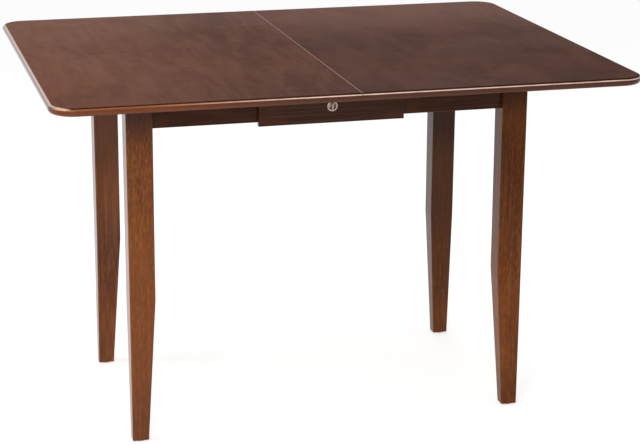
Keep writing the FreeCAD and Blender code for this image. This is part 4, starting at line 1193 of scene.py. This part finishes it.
def bezel(radius, rim, wall, depth):
    """Cup with its rim's front face at the origin, pointing up."""
    cup = disc("bezel", radius, rim, sides=72)
    in_edit_mode(cup, flat_at(-rim, -1))
    bpy.ops.mesh.inset(thickness=wall)
    draw_out(-depth)
    object_mode()
    in_edit_mode(cup, flat_at(0))
    bpy.ops.mesh.inset(thickness=2 * wall)
    draw_out(-(rim + depth - wall))
    object_mode()
    round_rim(cup, 0, radius, width=OUTER_ROUNDING * rim, segments=4)
    round_rim(cup, 0, radius - 2 * wall, width=INNER_ROUNDING * rim, segments=4)
    smooth(cup, angle=40)
    return cup


rim_low, rim_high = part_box("clamp_bezel")
turn_axis = (rim_low + rim_high) / 2
CUP_WALL = 1.6 * MILLIMETRE
CUP_RIM = 2 * MILLIMETRE
bezel_model = bezel((rim_high.x - rim_low.x) / 2, CUP_RIM, CUP_WALL, rim_high.y - rim_low.y - CUP_RIM)
cup_front = Vector((turn_axis.x, rim_low.y, turn_axis.z))
set_copy(bezel_model, "thumb_turn_bezel", cup_front, (0, -1, 0), "clamp_bezel", NICKEL)
bpy.data.objects.remove(bezel_model)
print("thumb-turn across:", round((rim_high.x - rim_low.x) * 1000, 1), "mm")

# %% [markdown]
# The bar of the knob is cut out of a cylinder by two upright planes, so that its ends follow the
# cup. Its front is drawn together a little and its front edges are rounded for the fingers. It is
# joined to the round plate behind it, as both are one casting.

# %% Knob of the thumb-turn
# Shares of the knob's radius, of the plate's height and of the bar's width.
BAR_REACH = 0.985
BAR_ROOT = 0.5
PLATE_ROUNDING = 0.2
BAR_ROUNDING = 0.2
BAR_NARROWING = (0.97, 0.8, 1)


def grip_knob(radius, plate_height, bar_width, bar_height):
    """Knob with the front of its bar at the origin, pointing up, the bar along X."""
    plate = disc("thumb_knob_plate", radius, plate_height, sides=64, top=-bar_height)
    round_rim(plate, -bar_height, radius, width=PLATE_ROUNDING * plate_height, segments=2)
    bar = disc("thumb_knob", radius * BAR_REACH, bar_height + plate_height * BAR_ROOT, sides=64)
    for side in (-1, 1):
        in_edit_mode(bar)
        bpy.ops.mesh.bisect(plane_co=(0, side * bar_width / 2, 0), plane_no=(0, side, 0),
                            use_fill=True, clear_outer=True)
        object_mode()
    in_edit_mode(bar, flat_at(0))
    bpy.ops.transform.resize(value=BAR_NARROWING)
    bpy.ops.mesh.region_to_loop()
    bpy.ops.mesh.bevel(offset=BAR_ROUNDING * bar_width, segments=4)
    object_mode()
    bpy.ops.object.select_all(action="DESELECT")
    plate.select_set(True)
    bar.select_set(True)
    bpy.context.view_layer.objects.active = bar
    bpy.ops.object.join()
    smooth(bar, angle=40)
    return bar


knob_low, knob_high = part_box("thumb_knob")
KNOB_PLATE = 2 * MILLIMETRE
KNOB_BAR = 5 * MILLIMETRE
knob_depth = knob_high.y - knob_low.y
knob_model = grip_knob((knob_high.x - knob_low.x) / 2, KNOB_PLATE, KNOB_BAR, knob_depth - KNOB_PLATE)
knob_front = Vector((turn_axis.x, knob_low.y, turn_axis.z))
set_copy(knob_model, "thumb_turn_knob", knob_front, (0, -1, 0), "thumb_knob", NICKEL)
bpy.data.objects.remove(knob_model)
print("knob stands out:", round((knob_depth - KNOB_PLATE) * 1000, 1), "mm from its plate")

# %% [markdown]
# ### Clamp screw
# Behind the knob runs a threaded rod that presses a pad against the front runner. It is the same
# kind of rod as the corner bolts, made to the size of the CAD's plain one.

# %% Clamp screw
THREADED_SHARE = 0.6
screw_low, screw_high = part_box("clamp_screw")
rod_radius = (screw_high.x - screw_low.x) / 2
rod_length = screw_high.y - screw_low.y
rod_model = threaded_rod("rod", rod_radius, rod_length, BOLT_PITCH, rod_length * THREADED_SHARE)
rod_end = Vector((turn_axis.x, screw_high.y, turn_axis.z))
set_copy(rod_model, "clamp_rod", rod_end, (0, 1, 0), "clamp_screw", ZINC)
bpy.data.objects.remove(rod_model)
print("clamp rod:", round(rod_length * 1000), "mm")

# %% [markdown]
# ### Foot glides
# Under each foot is a nylon glide with a rounded edge and a steel nail sunk in its middle. The
# hollow is an inset pushed in, the nail's head a smaller inset pushed out again, and the nail's
# shank an inset of the other face, drawn out into the leg.

# %% Foot glides
GLIDE_RADIUS = 11 * MILLIMETRE
GLIDE_HEIGHT = 3 * MILLIMETRE
NAIL_RADIUS = 2.5 * MILLIMETRE
# Shares of the glide's height.
GLIDE_ROUNDING = 0.45
HOLLOW_DEPTH = 0.5
NAIL_HEAD = 0.25
NAIL_LENGTH = 4
# Shares of the glide's radius.
SOLE_WIDTH = 0.45
NAIL_GAP = 0.12


def foot_glide(radius, height, nail):
    """Glide with its sole at the origin, pointing up."""
    sole = disc("glide", radius, height)
    round_rim(sole, 0, radius, width=GLIDE_ROUNDING * height, segments=4)
    in_edit_mode(sole, flat_at(0))
    bpy.ops.mesh.inset(thickness=SOLE_WIDTH * radius)
    draw_out(-HOLLOW_DEPTH * height)
    bpy.ops.mesh.inset(thickness=NAIL_GAP * radius)
    draw_out(NAIL_HEAD * height)
    object_mode()
    in_edit_mode(sole, flat_at(-height, -1))
    bpy.ops.mesh.inset(thickness=radius - nail)
    draw_out(-NAIL_LENGTH * height)
    object_mode()
    smooth(sole, angle=40)
    return sole


glide_clouds = solids_of("foot_glides")
glide_model = foot_glide(GLIDE_RADIUS, GLIDE_HEIGHT, NAIL_RADIUS)
for number, points in enumerate(glide_clouds, start=1):
    middle, _ = middle_of(points)
    on_floor = Vector((middle.x, middle.y, 0))
    set_copy(glide_model, f"foot_glide_{number}", on_floor, (0, 0, -1), "foot_glides", NYLON)
bpy.data.objects.remove(glide_model)
print("glides:", len(glide_clouds))

# %% [markdown]
# ## Studio
# The table stands in a white room. A large softbox overhead adds its light to the line along the
# rounded front edge, which is mostly a painted highlight, a lamp on the left lights the left sides
# of the legs, a narrow strip behind lights the far part of the top, and a warm lamp in front keeps
# the front faces from going flat.

# %% Lamps
def softbox(name, size, place, target, power, colour=(1, 1, 1)):
    """A rectangular soft lamp that faces its target and isn't seen by the camera itself."""
    data = bpy.data.lights.new(name, "AREA")
    data.shape = "RECTANGLE"
    data.size, data.size_y = size
    data.energy = power
    data.color = colour
    lamp = bpy.data.objects.new(name, data)
    bpy.context.scene.collection.objects.link(lamp)
    lamp.location = place
    lamp.rotation_euler = (Vector(target) - Vector(place)).to_track_quat("-Z", "Y").to_euler()
    lamp.visible_camera = False


LAMPS = {
    "overhead_softbox": dict(size=(2.4, 0.5), place=(0.1, -0.55, 2.3), target=(0.0, -0.3, 0.7), power=13),
    "left_lamp": dict(size=(0.8, 0.5), place=(-1.9, 0.3, 1.5), target=(-0.6, 0.0, 0.7), power=9),
    "rear_strip": dict(size=(1.2, 0.3), place=(0.5, 1.7, 1.6), target=(0.4, 0.45, 0.7), power=4),
    "front_lamp": dict(size=(0.8, 0.5), place=(-1.2, -2.1, 1.35), target=(-0.2, 0.0, 0.35), power=15,
                       colour=(1.0, 0.90, 0.76)),
}
for name, choices in LAMPS.items():
    softbox(name, **choices)
print("lamps:", len(bpy.data.lights))

# %% [markdown]
# ### The white room
# The room's walls are the world. They are pure white to the camera, and also in what the lacquer
# and the metal reflect: the pale sides of the legs are the room itself, seen in the lacquer at a
# low angle. All other rays find a dimmer room, because full white would flood the shadows. The
# Light Path node tells the two kinds of ray apart.

# %% World
ROOM_LIGHT = 0.4
COOL_WHITE = (0.97, 0.98, 1.0, 1)
PURE_WHITE = (1, 1, 1, 1)


def seen_by_eye(tree):
    """1 for rays from the camera, reflected and refracted ones included, and 0 for all others."""
    ray = add(tree, "ShaderNodeLightPath").outputs
    seen = maths(tree, "MAXIMUM", ray["Is Camera Ray"], ray["Is Glossy Ray"])
    return maths(tree, "MAXIMUM", seen, ray["Is Transmission Ray"])


world = bpy.data.worlds.new("white_room")
bpy.context.scene.world = world
world.use_nodes = True
room = world.node_tree
room.nodes.clear()
ambient = add(room, "ShaderNodeBackground", {"Color": COOL_WHITE, "Strength": ROOM_LIGHT})
white = add(room, "ShaderNodeBackground", {"Color": PURE_WHITE, "Strength": 1.0})
shown = {0: seen_by_eye(room), 1: ambient.outputs[0], 2: white.outputs[0]}
either = add(room, "ShaderNodeMixShader", shown)
add(room, "ShaderNodeOutputWorld", {"Surface": either.outputs[0]})
print("room light:", ROOM_LIGHT)

# %% [markdown]
# ### The floor
# The floor is a pale plane, so large that its edge is lost in the white. It takes the table's
# shadow, and the same kinds of ray as in the room find a little glow added to it, so that it runs
# into the white background. The view transform is plain, so that a colour is shown as written.

# %% Floor
FLOOR_SIZE = 60.0
FLOOR_GREYS = (srgb(238, 238, 238), srgb(242, 242, 242))
FLOOR_GLOW = 0.62
bpy.ops.object.select_all(action="DESELECT")
bpy.ops.mesh.primitive_plane_add(size=FLOOR_SIZE, location=(0, 0, 0))
floor = bpy.context.object
floor.name = "studio_floor"
floor_material, tree, shader = new_material("pale_floor")
speckle = add(tree, "ShaderNodeTexNoise", {"Scale": 3.0, "Detail": 3.0}).outputs["Fac"]
floor_colour = blend_colour(tree, speckle, *FLOOR_GREYS)
feed(tree, shader, {"Base Color": floor_colour, "Roughness": 0.9, "Specular IOR Level": 0.0})
strength = product(tree, seen_by_eye(tree), FLOOR_GLOW)
glow = add(tree, "ShaderNodeEmission", {"Color": PURE_WHITE, "Strength": strength})
both = add(tree, "ShaderNodeAddShader", {0: shader.outputs[0], 1: glow.outputs[0]})
output = next(node for node in tree.nodes if node.type == "OUTPUT_MATERIAL")
feed(tree, output, {"Surface": both.outputs[0]})
floor.data.materials.append(floor_material)
bpy.context.scene.view_settings.view_transform = "Standard"
print("floor in metres:", FLOOR_SIZE)
